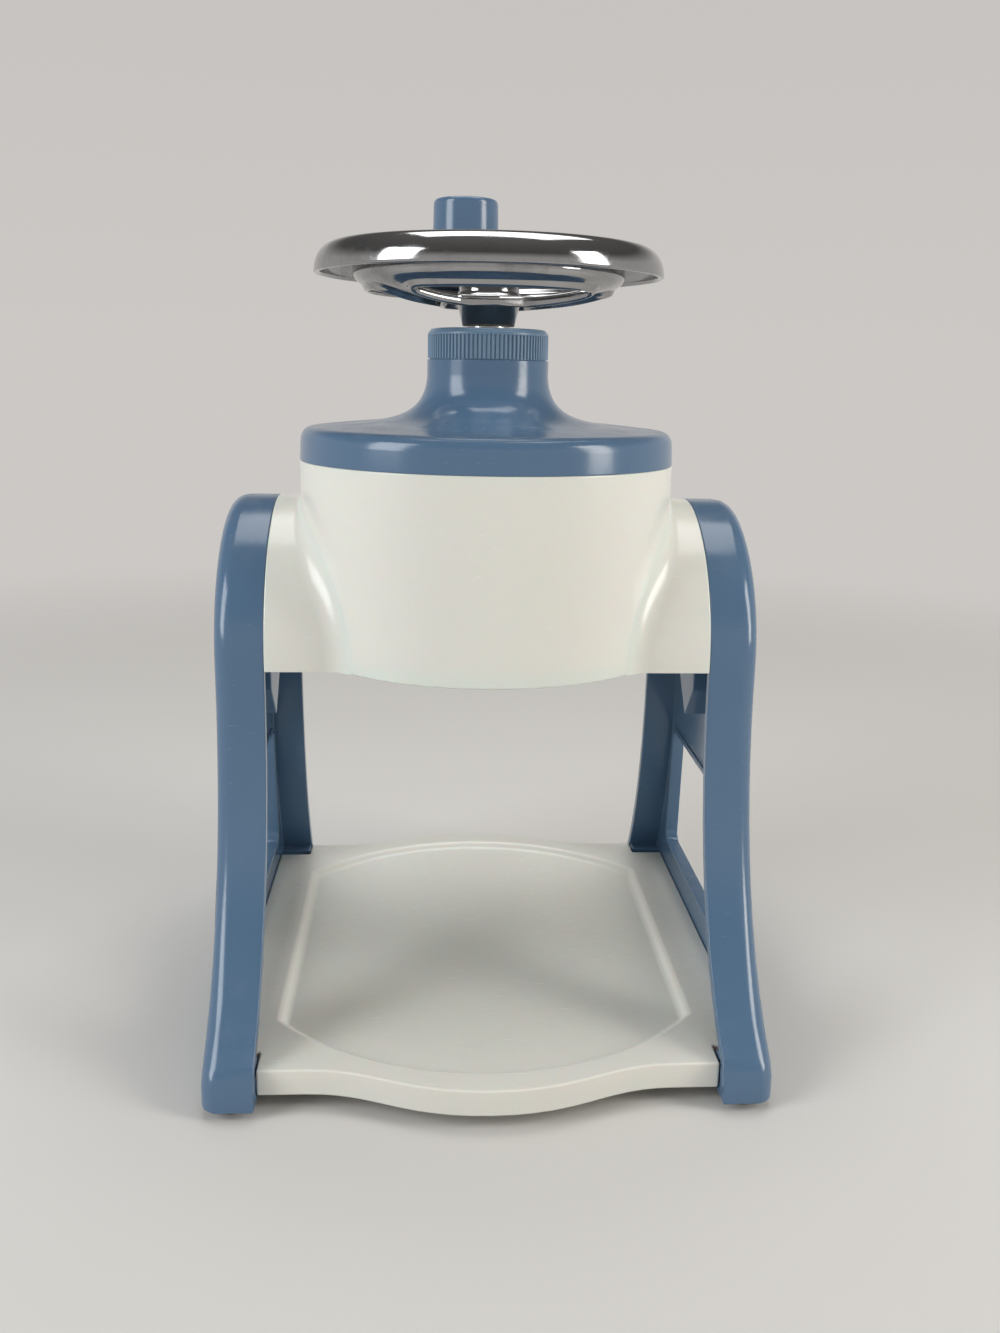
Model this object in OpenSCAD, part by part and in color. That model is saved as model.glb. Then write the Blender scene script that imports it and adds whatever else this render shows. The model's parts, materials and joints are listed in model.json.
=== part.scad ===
// Hand-cranked ice shaver: a handwheel on top turns a sprung, spiked disc that drives a
// block of ice round over a fixed blade, and the snow falls on a dish between two side frames.
// Millimetres, +Z up, front towards -Y, origin on the table under the spindle.

/* [Side frames] */
// Height of the rubber feet under the frames
foot_h = 3; // [1:0.5:6]
// Radius of a rubber foot
foot_r = 5.2; // [4:0.1:6]
// Distance from the chamber's wall to a frame's open side
arm_reach = 8.7; // [7:0.1:12]
// Width of one frame, from its open side to its outer face
frame_w = 16.2; // [15:0.2:22]
// Height of a frame's arch above its own foot
frame_h = 172.8; // [170:0.2:180]
// Distance from the spindle to the front and rear ends of the feet
foot_reach = 91.5; // [90:0.5:96]
// Distance from the spindle to the front edge at the arms
front_waist = 41; // [38:0.5:44]
// Distance from the spindle to the rear edge at the arms
rear_waist = 65.5; // [64:0.5:68]
// Distance of the arch's highest point behind the spindle
apex_y = 8; // [4:0.5:12]
// Height of a foot's upright face
foot_face_h = 13; // [10:0.5:15]
// Wall of a frame's front and rear flange
frame_wall = 3.5; // [2.5:0.1:4]
// Thickness of a frame's web
web_t = 3.8; // [3:0.1:5]
// Thickness of the ledge that the plate rests on
ledge_t = 2; // [1.5:0.1:3]
// Rounding of a frame's outer edge
edge_round = 6; // [3:0.5:7]
// Height of the window's sill above the frame's foot
window_sill = 23; // [21:0.5:27]
// Height of the window's top above the frame's foot
window_top = 72; // [66:0.5:76]
// Distance from a leg's edge to the window
window_margin = 11; // [9:0.5:14]

/* [Base plate] */
// Height of the plate from the ledge to its top
plate_t = 8.6; // [7.5:0.1:10]
// Wall of the plate
plate_wall = 2.8; // [2:0.1:3]
// Distance from the spindle to the plate's straight front and rear edges
plate_reach = 85.6; // [84:0.2:88]
// How far the bulge in the front and rear edges stands out
plate_bulge = 12.3; // [8:0.1:14]
// Half the width of the bulge
bulge_half_w = 56; // [48:1:62]
// Radius of the dish recess
recess_r = 88; // [80:0.5:92]
// Half the width of the dish recess
recess_half_w = 67; // [60:0.5:69]
// Depth of the dish recess
recess_depth = 2.6; // [1.5:0.1:3]

/* [Hopper] */
// Outer radius of the ice chamber
hopper_r = 62; // [60.5:0.1:63]
// Wall of the ice chamber
hopper_wall = 4; // [3:0.1:5]
// Height of the frames' arches above the chamber's underside
arch_rise = 50.2; // [48:0.2:52]
// Height of the hopper from its underside to its rim
hopper_h = 63.4; // [60:0.2:68]
// Thickness of the chamber's floor
floor_t = 4; // [3.5:0.1:5]
// Radius of the blend between arm and chamber
blend_r = 12; // [8:0.5:14]

/* [Blade] */
// Length of the blade
blade_l = 44; // [36:1:46]
// Width of the blade
blade_w = 19; // [18:0.5:22]
// Thickness of the blade
blade_t = 1.5; // [1.2:0.1:2]
// Angle of the blade below the floor
blade_angle = 25; // [20:1:28]
// Height of the cutting edge above the floor
blade_rise = 0.5; // [0.3:0.1:0.8]
// Width of the snow slot in front of the edge
slot_w = 6; // [5:0.5:8]

/* [Lid] */
// Height of the lid's upright skirt
skirt_h = 6.2; // [5:0.2:8]
// Height of the lid's shoulder above the hopper's rim
shoulder_h = 10.8; // [10:0.2:13]
// Height of the neck's top above the hopper's rim
neck_h = 32.6; // [31:0.2:36]
// Radius of the neck
neck_r = 20; // [19.4:0.1:22]
// Wall of the lid
lid_wall = 2.8; // [2.2:0.1:3.2]
// Depth of the lid's spigot in the hopper
spigot_h = 5; // [3:0.5:7]
// Height of the ribbed collar
collar_h = 9.8; // [9:0.1:11]
// How far the collar lies inside the neck's outline
collar_inset = 0.2; // [0.1:0.1:0.6]
// Number of ribs round the collar
collar_ribs = 90; // [60:1:100]
// Depth of the collar's ribs
rib_depth = 0.5; // [0.3:0.1:0.6]

/* [Handwheel] */
// Radius of the handwheel
wheel_r = 56.4; // [54:0.2:60]
// Width of the wheel's rolled rim
rim_w = 14.4; // [13:0.2:16]
// Height of the wheel's rolled rim
rim_h = 8.9; // [8.5:0.1:11]
// Thickness of the wheel's metal
wheel_t = 2; // [1.6:0.1:2.4]
// Drop from the rim's lower edge to the underside of the dish
dish_drop = 8.8; // [8:0.2:12]
// Length of the hub below the dish
hub_l = 6.9; // [5:0.1:8]
// Radius of the hub at its lower end
hub_r = 8.6; // [8.4:0.1:9.2]
// Width of a spoke
spoke_w = 13; // [10:0.5:16]
// Radius of the knob
knob_r = 12; // [9:0.1:13]
// Height of the knob
knob_h = 19.2; // [16:0.2:26]
// Direction of the knob from the spindle, in degrees from +X
knob_turn = 97.5; // [90:0.5:120]
// Radius of the knob's pin
knob_pin_r = 3; // [2.5:0.1:3.5]

/* [Drive] */
// Outer radius of the drive sleeve
sleeve_r = 7; // [6.8:0.1:7.4]
// Radius of the drive sleeve's bore
sleeve_bore_r = 5.6; // [5.4:0.1:5.7]
// Width of the square feed shaft
shaft_w = 7.4; // [7:0.1:7.5]
// Travel of the disc against the spring
disc_travel = 40; // [34:1:42]
// Radius of the ice disc
disc_r = 48; // [44:0.5:50]
// Thickness of the ice disc
disc_t = 3.5; // [3:0.1:4]
// Length of the spikes below the disc
spike_l = 6; // [4:0.5:8]
// Number of spikes
spike_count = 6; // [4:1:9]
// Wire diameter of the spring
wire_d = 1.6; // [1.2:0.1:1.8]
// Mean radius of the spring
spring_r = 10; // [9.6:0.1:10.6]
// Turns of the spring
spring_turns = 9; // [7:1:10]

/* [Clearances] */
// Running clearance of a turning fit, on the radius
run_gap = 0.05; // [0.02:0.01:0.1]
// Clearance of a screw or a fixed spigot in its hole, on the radius
fit_gap = 0.1; // [0.05:0.05:0.2]
// Clearance between pieces that move past each other
move_gap = 0.4; // [0.3:0.1:0.8]

/* [Hidden] */
$fn = 64;

// Colours
slate_blue = [0.36, 0.47, 0.62];
collar_blue = [0.45, 0.56, 0.69];
warm_white = [0.93, 0.92, 0.88];
bright_steel = [0.72, 0.73, 0.75];
dull_steel = [0.55, 0.56, 0.58];
nylon = [0.85, 0.84, 0.78];
foot_brown = [0.33, 0.28, 0.25];

// Heights above the table
frame_z = foot_h;
plate_z = frame_z + ledge_t;
plate_top = plate_z + plate_t;
hopper_lift = frame_h - arch_rise;
hopper_z = frame_z + hopper_lift;
floor_top = hopper_z + floor_t;
rim_z = hopper_z + hopper_h;
neck_top = rim_z + neck_h;
collar_top = neck_top + collar_h;

// Places across
frame_gap = 2 * (hopper_r + arm_reach);
open_x = frame_gap / 2;
outer_x = open_x + frame_w;
web_x = outer_x - web_t;
bore_r = hopper_r - hopper_wall;

// Screws that hold the arms: their places in the frame's side view
arm_screw_r = 2;
arm_screw_head_r = 3.8;
arm_screw_head_h = 2.4;
arm_screw_l = 22;
boss_r = 5;
arm_screw_rise = 22;
arm_screws = [[-14, hopper_lift + arm_screw_rise], [40, hopper_lift + arm_screw_rise]];

// Screws that hold the plate: their places from above
plate_screw_r = 1.6;
plate_screw_head_r = 3.2;
plate_screw_head_h = 1.6;
plate_screw_l = 7;
tab_margin = 3;
plate_screw_x = (open_x + web_x) / 2;
plate_screw_y = 55;

// Rubber feet
stem_r = 2.4;
stem_h = 4;
foot_wall = 2;
foot_step = 0.3;
foot_block_h = foot_face_h - 2;
foot_x = (open_x + outer_x) / 2 - 0.6;
foot_y = foot_reach - frame_wall - foot_r;

// Drive, from the top down
hub_gap = 0.8;
hub_z = collar_top + hub_gap;
dish_z = hub_z + hub_l;
rim_edge_z = dish_z + dish_drop;
crown_r = wheel_r - rim_w / 2;
crown_z = rim_edge_z + rim_h;
hub_top = rim_edge_z - 3;
hub_cap = 2.6;
sleeve_top = hub_top - hub_cap;
stud_r = 4;
stud_flat = 3.2;
stud_l = 7;
hub_bore_r = sleeve_r + fit_gap;
wheel_washer_t = 1.2;
wheel_nut_h = 6;
nut_wide = 13;

// Bush and collar
spigot_r = neck_r - 2.8;
collar_plate = 2.4;
bush_flange_t = 1;
spigot_top = collar_top - collar_plate - bush_flange_t;
bush_r = 9;
bush_flange_r = spigot_r - 1.2;
neck_plate = 9;
bush_tail = 7;
bush_z = spigot_top - neck_plate - bush_tail;
thrust_t = 0.8;
clip_t = 1;
seat_t = 1.6;
seat_lip = 0.8;
seat_r = spring_r + wire_d / 2 + move_gap + seat_lip;
clip_groove = 0.6;
thrust_z = bush_z - thrust_t - 0.2;
clip_z = thrust_z - clip_t;
seat_z = clip_z - seat_t;

// Disc and feed shaft
tip_gap = 1.4;
disc_z = floor_top + tip_gap + spike_l;
disc_hub_r = 12;
disc_hub_h = 9;
disc_hub_top = disc_z + disc_hub_h;
sleeve_z = disc_hub_top + disc_travel + 4;
mouth_l = 8;
ring_t = 1.2;
ring_z = sleeve_z + mouth_l;
shaft_head = 1.8;
shaft_top = ring_z + ring_t + shaft_head;
shaft_z = disc_z + disc_t;
shaft_hole_d = 12;
shaft_screw_r = 2.5;
spike_r = 1.5;
spike_circle = 34;
spring_gap = 0.3;

// Knob, on a pad of the rim
pad_r = 6.2;
pad_z = rim_edge_z + 3.4;
pad_top = crown_z + 0.2;
knob_flange_t = 1;
knob_z = pad_top + knob_flange_t + 0.3;
knob_stud_r = knob_pin_r - 0.5;
knob_nut_h = 3;
knob_nut_r = 4.3;
knob_top = knob_z + knob_h;
knob_x = crown_r * cos(knob_turn);
knob_y = crown_r * sin(knob_turn);
knob_head_r = 5;
knob_head_h = 2.4;

// One point of a cubic curve through its four control points
function curve_point(p, t) =
    pow(1 - t, 3) * p[0] + 3 * pow(1 - t, 2) * t * p[1] + 3 * (1 - t) * t * t * p[2] + pow(t, 3) * p[3];

// A stretch of n points along a cubic curve, without its first point
function curve(p, n) = [for (i = [1:n]) curve_point(p, i / n)];

// Points of an ellipse's arc
function arc(c, rx, ry, from, to, n) =
    [for (i = [0:n]) let (a = from + (to - from) * i / n) c + [rx * cos(a), ry * sin(a)]];

function unit(v) = v / norm(v);

// Corner i of a polygon rounded to radius r; the points run anticlockwise
function corner(pts, i, r, n = 5) =
    let (p = pts[i],
         a = unit(pts[(i + len(pts) - 1) % len(pts)] - p),
         b = unit(pts[(i + 1) % len(pts)] - p),
         half = acos(a * b) / 2,
         c = p + unit(a + b) * r / sin(half),
         from = p + a * r / tan(half) - c,
         to = p + b * r / tan(half) - c,
         a0 = atan2(from.y, from.x),
         turn = ((atan2(to.y, to.x) - a0) + 540) % 360 - 180)
    [for (k = [0:n]) c + r * [cos(a0 + turn * k / n), sin(a0 + turn * k / n)]];

// A polygon with its listed corners rounded to radius r
function rounded(pts, r, corners) = [
    for (i = [0:len(pts) - 1])
        each len(search(i, corners)) > 0 ? corner(pts, i, r) : [pts[i]]
];

// The frame's outline in its side view, from the front foot over the arch to the rear foot
leg_top = hopper_lift + 1.4;
rear_leg_top = hopper_lift - 10.6;
foot_lean = 4;
arch_front = [[-front_waist, leg_top], [-front_waist, leg_top + (frame_h - leg_top) * 0.6],
              [apex_y - (apex_y + front_waist) * 0.44, frame_h], [apex_y, frame_h]];
arch_rear = [[apex_y, frame_h], [apex_y + (rear_waist - apex_y) * 0.56, frame_h],
             [rear_waist, rear_leg_top + (frame_h - rear_leg_top) * 0.6], [rear_waist, rear_leg_top]];
frame_line = concat(
    [[-foot_reach, 0], [-foot_reach + 0.8, foot_face_h * 0.6], [-foot_reach + foot_lean, foot_face_h]],
    curve([[-foot_reach + foot_lean, foot_face_h], [-front_waist - 10, foot_face_h + 26],
           [-front_waist, leg_top - 39], [-front_waist, leg_top]], 12),
    curve(arch_front, 12),
    curve(arch_rear, 12),
    curve([[rear_waist, rear_leg_top], [rear_waist, rear_leg_top - 30],
           [rear_waist + 1, foot_face_h + 33], [foot_reach - foot_lean, foot_face_h]], 10),
    [[foot_reach - 0.8, foot_face_h * 0.6], [foot_reach, 0]]);

// Inward direction at point i of the outline, with a mitre; the two ends move level
function inward(i) =
    let (last = len(frame_line) - 1,
         a = unit(frame_line[min(i + 1, last)] - frame_line[max(i - 1, 0)]),
         n = [a.y, -a.x])
    i == 0 || i == last ? [sign(n.x), 0] : n;

// The outline drawn in by d, with its two ends at height z
function drawn_in(d, z = 0) = [
    for (i = [0:len(frame_line) - 1])
        let (p = frame_line[i] + d * inward(i))
        [p.x, i == 0 || i == len(frame_line) - 1 ? z : p.y]
];

// Extrudes a side view, drawn as [y, z], from x0 over a width
module across(x0, width) {
    translate([x0, 0, frame_z])
        rotate([90, 0, 90])
            linear_extrude(width)
                children();
}

// A rod along X with its side-view place [y, z] given above the frames' feet
module rod(x0, length, r, place) {
    translate([x0, place.x, frame_z + place.y])
        rotate([0, 90, 0])
            cylinder(h = length, r = r);
}

// The frame's shell: the walls of its open side, then its outer form, which is rounded at the outer face
module frame_shell() {
    steps = 5;
    rings = concat([[web_x, frame_wall, ledge_t], [open_x, frame_wall, ledge_t], [open_x, 0, 0]],
                   [for (k = [0:steps])
                       let (a = 90 * k / steps)
                       [outer_x - edge_round * (1 - sin(a)), edge_round * (1 - cos(a)), 0]]);
    count = len(frame_line);
    last = len(rings) - 1;
    middle = len(rings) * count;
    points = concat(
        [for (ring = rings) for (p = drawn_in(ring[1], ring[2])) [ring[0], p.x, frame_z + p.y]],
        [for (ring = [rings[0], rings[last]]) [ring[0], 0, frame_z + window_top]]);
    sides = [for (k = [0:last - 1]) for (i = [0:count - 1])
        let (a = k * count + i, b = k * count + (i + 1) % count)
        each [[a, b, a + count], [b, b + count, a + count]]];
    caps = [for (i = [0:count - 1])
        let (next = (i + 1) % count)
        each [[next, i, middle], [last * count + i, last * count + next, middle + 1]]];
    polyhedron(points, concat(sides, caps));
}

// The window in a frame's web, grown by an amount for its raised rim
function window(grow) =
    rounded([[-front_waist - 22 - grow, window_sill - grow],
             [rear_waist - window_margin + 7 + grow, window_sill - grow],
             [rear_waist - window_margin + 4 + grow, window_top + grow],
             [-front_waist + window_margin - 8 - grow, window_top + grow]], 4 + grow, [0, 1, 2, 3]);

// The shelf under an arm, with its slanted gusset, in side view
shelf_half = 11;
function shelf() = [[-shelf_half, hopper_lift], [-shelf_half, hopper_lift - 14],
                    [0, hopper_lift - 26], [shelf_half, hopper_lift - 14], [shelf_half, hopper_lift]];

module side_frame() {
    window_rim = 2;
    difference() {
        union() {
            frame_shell();
            across(web_x - 1.2, 1.2 + web_t / 2)
                polygon(window(window_rim));
            across(open_x + 2, web_x - open_x - 2 + web_t / 2)
                polygon(shelf());
            for (s = arm_screws)
                rod(open_x, frame_w - web_t / 2, boss_r, s);
            for (end = [0, 1])
                mirror([0, end, 0])
                    translate([open_x + foot_step, foot_y - stem_r - foot_wall, frame_z])
                        cube([web_x - open_x, foot_reach - frame_wall - foot_y + stem_r + foot_wall, foot_block_h]);
        }
        across(web_x - 2, web_t + 4)
            polygon(window(0));
        for (s = arm_screws) {
            rod(open_x - 1, frame_w + 2, arm_screw_r + fit_gap, s);
            rod(outer_x - arm_screw_head_h - 0.6, arm_screw_head_h + 2, arm_screw_head_r + fit_gap, s);
        }
        for (end = [-1, 1]) {
            translate([foot_x, end * foot_y, frame_z - 1])
                cylinder(h = stem_h + 1 + fit_gap, r = stem_r + fit_gap);
            translate([plate_screw_x, end * plate_screw_y, frame_z - 1])
                cylinder(h = ledge_t + 2, r = plate_screw_r + fit_gap);
        }
    }
}

module right_frame() {
    color(slate_blue)
        side_frame();
}

module left_frame() {
    color(slate_blue)
        mirror([1, 0, 0])
            side_frame();
}

// Repeats a piece at the four corners, mirrored from the right rear one
module four_corners() {
    for (side = [0, 1])
        for (end = [0, 1])
            mirror([side, 0, 0])
                mirror([0, end, 0])
                    children();
}

module feet() {
    color(foot_brown)
        four_corners()
            translate([foot_x, foot_y, 0])
                rotate_extrude()
                    polygon([[0, 0], [foot_r - 0.8, 0], [foot_r, 0.8], [foot_r, foot_h],
                             [stem_r, foot_h], [stem_r, foot_h + stem_h], [0, foot_h + stem_h]]);
}

// A round-headed screw pointing up, with its head's bearing face at height 0
module screw(shank_r, length, head_r, head_h) {
    rotate_extrude()
        polygon(concat([[0, length], [shank_r, length - shank_r * 0.6], [shank_r, 0], [head_r, 0]],
                       arc([0, 0], head_r, -head_h, 15, 90, 6)));
}

module plate_screws() {
    color(dull_steel)
        four_corners()
            translate([plate_screw_x, plate_screw_y, frame_z])
                screw(plate_screw_r, plate_screw_l, plate_screw_head_r, plate_screw_head_h);
}

module frame_screws() {
    color(dull_steel)
        for (side = [0, 1])
            mirror([side, 0, 0])
                for (s = arm_screws)
                    translate([outer_x - arm_screw_head_h - 0.6, s.x, frame_z + s.y])
                        rotate([0, -90, 0])
                            screw(arm_screw_r, arm_screw_l, arm_screw_head_r, arm_screw_head_h);
}

// The plate's outline: straight ends, a soft bulge front and rear, and a tab into each frame
function bulge_half(depth, half_w) = concat(
    curve([[half_w, depth], [half_w * 0.62, depth], [half_w * 0.5, depth + plate_bulge],
           [0, depth + plate_bulge]], 12));
function plate_line(inset) =
    let (reach = plate_reach - inset,
         half_w = bulge_half_w,
         tab_x = web_x - fit_gap - inset,
         tab_y = foot_y - stem_r - foot_wall - tab_margin - inset,
         side_x = open_x - fit_gap - inset,
         right = bulge_half(reach, half_w),
         quarter = concat([[tab_x, 0], [tab_x, tab_y], [side_x, tab_y], [side_x, reach], [half_w, reach]], right),
         count = len(quarter),
         left = [for (i = [count - 2:-1:0]) [-quarter[i].x, quarter[i].y]])
    concat(quarter, left,
           [for (i = [1:count - 1]) [-quarter[i].x, -quarter[i].y]],
           [for (i = [count - 2:-1:1]) [quarter[i].x, -quarter[i].y]]);

// The dish recess in plan, drawn in by d
module recess_plan(d) {
    intersection() {
        circle(r = recess_r - d, $fn = 128);
        square([2 * (recess_half_w - d), 4 * recess_r], center = true);
    }
}

module base_plate() {
    recess_slope = 2;
    color(warm_white)
        difference() {
            union() {
                difference() {
                    translate([0, 0, plate_z])
                        linear_extrude(plate_t)
                            polygon(plate_line(0));
                    translate([0, 0, plate_z - 1])
                        linear_extrude(plate_t - recess_depth - plate_wall + 1)
                            polygon(plate_line(plate_wall));
                }
                four_corners()
                    translate([plate_screw_x, plate_screw_y, plate_z])
                        cylinder(h = plate_t - plate_wall, r = plate_screw_r + 2.2);
                for (x = [-0.45, 0, 0.45])
                    translate([x * frame_gap - 1, -plate_reach + 1, plate_z + 1])
                        cube([2, 2 * plate_reach - 2, plate_t - recess_depth - 2]);
                for (y = [-0.5, 0, 0.5])
                    translate([1 - open_x, y * plate_reach - 1, plate_z + 1])
                        cube([frame_gap - 2, 2, plate_t - recess_depth - 2]);
            }
            translate([0, 0, plate_top - recess_depth])
                linear_extrude(recess_depth + 1)
                    recess_plan(recess_slope);
            intersection() {
                translate([0, 0, plate_top - recess_depth])
                    rotate_extrude($fn = 128)
                        polygon([[0, 0], [recess_r - recess_slope, 0], [recess_r, recess_depth],
                                 [recess_r, recess_depth + 1], [0, recess_depth + 1]]);
                translate([0, recess_r, plate_top - recess_depth])
                    rotate([90, 0, 0])
                        linear_extrude(2 * recess_r)
                            polygon([[recess_slope - recess_half_w, 0], [recess_half_w - recess_slope, 0],
                                     [recess_half_w, recess_depth], [recess_half_w, recess_depth + 1],
                                     [-recess_half_w, recess_depth + 1], [-recess_half_w, recess_depth]]);
            }
            four_corners()
                translate([plate_screw_x, plate_screw_y, plate_z - 1])
                    cylinder(h = plate_screw_l - ledge_t + 1.5, r = plate_screw_r + fit_gap);
        }
}

// The arch's rear curve as a table of depths by height
rear_table = [for (p = curve(arch_rear, 48)) [p.y, p.x]];

// Half a level of the arms, from above: a concave blend off the chamber, then the arm's front face
drum_sink = 0.6;
blend_least = 2.5;
blend_steps = 6;
function arm_half(y) =
    let (drum_r = hopper_r - drum_sink,
         r = max(blend_least, blend_r * pow(max(-y, 0) / front_waist, 1.2)),
         cy = y - r,
         cx = sqrt(pow(drum_r + r, 2) - cy * cy),
         turn = 180 + atan(cy / cx))
    concat([for (k = [0:blend_steps])
                let (a = turn + (90 - turn) * k / blend_steps)
                [cx + r * cos(a), cy + r * sin(a)]],
           [[open_x, y]]);

// One level of the arms at a height above the frames' feet
function arm_level(y, z) =
    let (half = arm_half(y),
         rear = lookup(z, rear_table),
         line = concat(half, [[open_x, rear], [-open_x, rear]],
                       [for (i = [len(half) - 1:-1:0]) [-half[i].x, half[i].y]]))
    [for (q = line) [q.x, q.y, frame_z + z]];

// Both arms as one block with soft concave blends, up to the top of the arch
module arm_block() {
    levels = concat([arm_level(-front_waist, hopper_lift)],
                    [for (t = [0, 0.09, 0.18, 0.27, 0.36, 0.45, 0.54, 0.63, 0.72, 0.81, 0.89, 0.96])
                        let (p = curve_point(arch_front, t))
                        arm_level(p.x, p.y)]);
    count = len(levels[0]);
    last = len(levels) - 1;
    points = [for (level = levels) each level];
    sides = [for (k = [0:last - 1]) for (i = [0:count - 1])
        let (a = k * count + i, b = k * count + (i + 1) % count)
        each [[a, a + count, b], [b, a + count, b + count]]];
    b = blend_steps;
    under = concat([for (i = [0:b - 1]) each [[i, i + 1, count - 2 - i], [i, count - 2 - i, count - 1 - i]]],
                   [[b, b + 1, b + 2], [b, b + 2, b + 3], [b, b + 3, b + 5], [b + 3, b + 4, b + 5]]);
    top = [for (face = under) [for (k = [2:-1:0]) last * count + face[k]]];
    polyhedron(points, concat(sides, under, top));
}

// The blade lies along +X, with its cutting edge on the X axis, and slopes down to the rear
slot_x = 9;
blade_edge_z = floor_top + blade_rise;
module on_blade() {
    translate([0, 0, blade_edge_z])
        rotate([-blade_angle, 0, 0])
            children();
}

blade_screw_r = 1.5;
blade_screw_y = blade_w - 4;
blade_screw_x = [slot_x + 8, slot_x + blade_l - 8];
clamp_t = 2;
blade_screw_l = clamp_t + blade_t + 4.5;

// The floor's tongue through both arms to the shelves of the frames, grown by an amount
module tongue(grow) {
    half_x = web_x - fit_gap + grow;
    half_y = shelf_half - 1 + grow;
    translate([-half_x, -half_y, hopper_z - grow])
        cube([2 * half_x, 2 * half_y, floor_t + 2 * grow]);
}

// The chamber's wall stands on its floor, with two keys that keep the lid from turning
module hopper() {
    key_w = 3;
    color(warm_white)
        union() {
            translate([0, 0, floor_top])
                ring(bore_r, hopper_r, hopper_h - floor_t, $fn = 128);
            for (side = [-1, 1])
                translate([side * bore_r, 0, rim_z - spigot_h - 1])
                    cube([key_w, key_w, 2 * spigot_h], center = true);
        }
}

module hopper_floor() {
    seat_l = blade_l + 2;
    color(warm_white)
        difference() {
            union() {
                translate([0, 0, hopper_z])
                    cylinder(h = floor_t, r = hopper_r, $fn = 128);
                tongue(0);
                intersection() {
                    on_blade()
                        translate([slot_x - 1, 0, -0.02])
                            cube([seat_l, blade_w, 20]);
                    translate([0, 0, hopper_z - 10])
                        cylinder(h = 12, r = bore_r);
                }
            }
            translate([slot_x, -slot_w, hopper_z - 1])
                cube([blade_l, slot_w, floor_t + 2]);
            on_blade()
                translate([slot_x - fit_gap, -4, -12])
                    cube([blade_l + 2 * fit_gap, blade_w + 10, 12]);
            for (x = blade_screw_x)
                on_blade()
                    translate([x, blade_screw_y, -1])
                        cylinder(h = blade_screw_l - clamp_t - blade_t + 1.5, r = blade_screw_r + fit_gap);
        }
}

// The arms lie against the chamber's wall, are scooped out behind it and are screwed to the frames
module hopper_arms() {
    screw_in = arm_screw_l - frame_w + 4.5;
    scoop_flare = 13;
    scoop_set_back = 54.5;
    scoop_r = hopper_r + scoop_flare;
    scoop_y = rear_waist + scoop_set_back;
    color(warm_white)
        difference() {
            arm_block();
            translate([0, 0, hopper_z - 1])
                cylinder(h = hopper_h + 2, r = hopper_r + fit_gap, $fn = 128);
            translate([0, scoop_y, hopper_z - 1])
                cylinder(h = hopper_h + 2, r = scoop_r, $fn = 128);
            tongue(fit_gap);
            for (side = [-1, 1])
                for (s = arm_screws)
                    rod(side > 0 ? open_x + 1 - screw_in : -open_x - 1, screw_in, arm_screw_r + fit_gap, s);
        }
}

// The blade's section runs from its ground edge down to the rear
module blade() {
    bevel = 3;
    color(bright_steel)
        difference() {
            on_blade()
                translate([slot_x, 0, 0])
                    rotate([90, 0, 90])
                        linear_extrude(blade_l)
                            polygon([[0, 0], [bevel, -blade_t], [blade_w, -blade_t], [blade_w, 0]]);
            for (x = blade_screw_x)
                on_blade()
                    translate([x, blade_screw_y, -blade_t - 1])
                        cylinder(h = blade_t + 2, r = blade_screw_r + fit_gap);
        }
}

module blade_clamp() {
    clamp_w = 9;
    color(dull_steel)
        difference() {
            on_blade()
                translate([slot_x, blade_w - clamp_w, -blade_t - clamp_t])
                    cube([blade_l, clamp_w, clamp_t]);
            for (x = blade_screw_x)
                on_blade()
                    translate([x, blade_screw_y, -blade_t - clamp_t - 1])
                        cylinder(h = clamp_t + 2, r = blade_screw_r + fit_gap);
        }
}

module blade_screws() {
    color(dull_steel)
        for (x = blade_screw_x)
            on_blade()
                translate([x, blade_screw_y, -blade_t - clamp_t])
                    screw(blade_screw_r, blade_screw_l, 2.8, 1.8);
}

// The lid's outer outline, from the skirt's lower edge to the top of the neck
lid_line = concat(
    [[hopper_r, 0], [hopper_r - 0.3, skirt_h]],
    curve([[hopper_r - 0.3, skirt_h], [hopper_r - 0.5, shoulder_h - 1.4],
           [hopper_r - 2, shoulder_h - 0.2], [hopper_r - 5, shoulder_h]], 6),
    [[neck_r + 24, shoulder_h + 1.3]],
    curve([[neck_r + 24, shoulder_h + 1.3], [neck_r + 8.5, shoulder_h + 2.2],
           [neck_r + 0.6, shoulder_h + 5.4], [neck_r, shoulder_h + 17]], 12),
    [[neck_r, neck_h]]);

module lid() {
    spigot_out = bore_r - move_gap;
    spigot_in = spigot_out - lid_wall;
    key_slot = 4;
    color(slate_blue)
        translate([0, 0, rim_z])
            difference() {
                rotate_extrude($fn = 128)
                    polygon(concat(
                        lid_line,
                        [[spigot_r, neck_h], [spigot_r, spigot_top - rim_z], [bush_r + fit_gap, spigot_top - rim_z],
                         [bush_r + fit_gap, spigot_top - neck_plate - rim_z],
                         [neck_r - lid_wall, spigot_top - neck_plate - rim_z],
                         [neck_r - lid_wall, shoulder_h + 8]],
                        curve([[neck_r - lid_wall, shoulder_h + 8], [neck_r - lid_wall + 0.6, shoulder_h + 1],
                               [neck_r + 8, shoulder_h - 0.8], [neck_r + 24, shoulder_h + 1.3 - lid_wall]], 6),
                        [[spigot_in, shoulder_h - lid_wall], [spigot_in, -spigot_h], [spigot_out, -spigot_h],
                         [spigot_out, 0]]));
                for (side = [-1, 1])
                    translate([side * bore_r, 0, -spigot_h / 2 - 0.5])
                        cube([14, key_slot, spigot_h + 1], center = true);
            }
}

// A ribbed ring's outline: each rib has a flat top and a flat valley
function ribbed(r, depth, ribs) = [
    for (i = [0:ribs - 1]) for (part = [[0, 0], [0.5, 0], [0.6, 1], [0.9, 1]])
        let (a = 360 * (i + part[0]) / ribs, q = r - depth * part[1])
        [q * cos(a), q * sin(a)]
];

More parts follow.
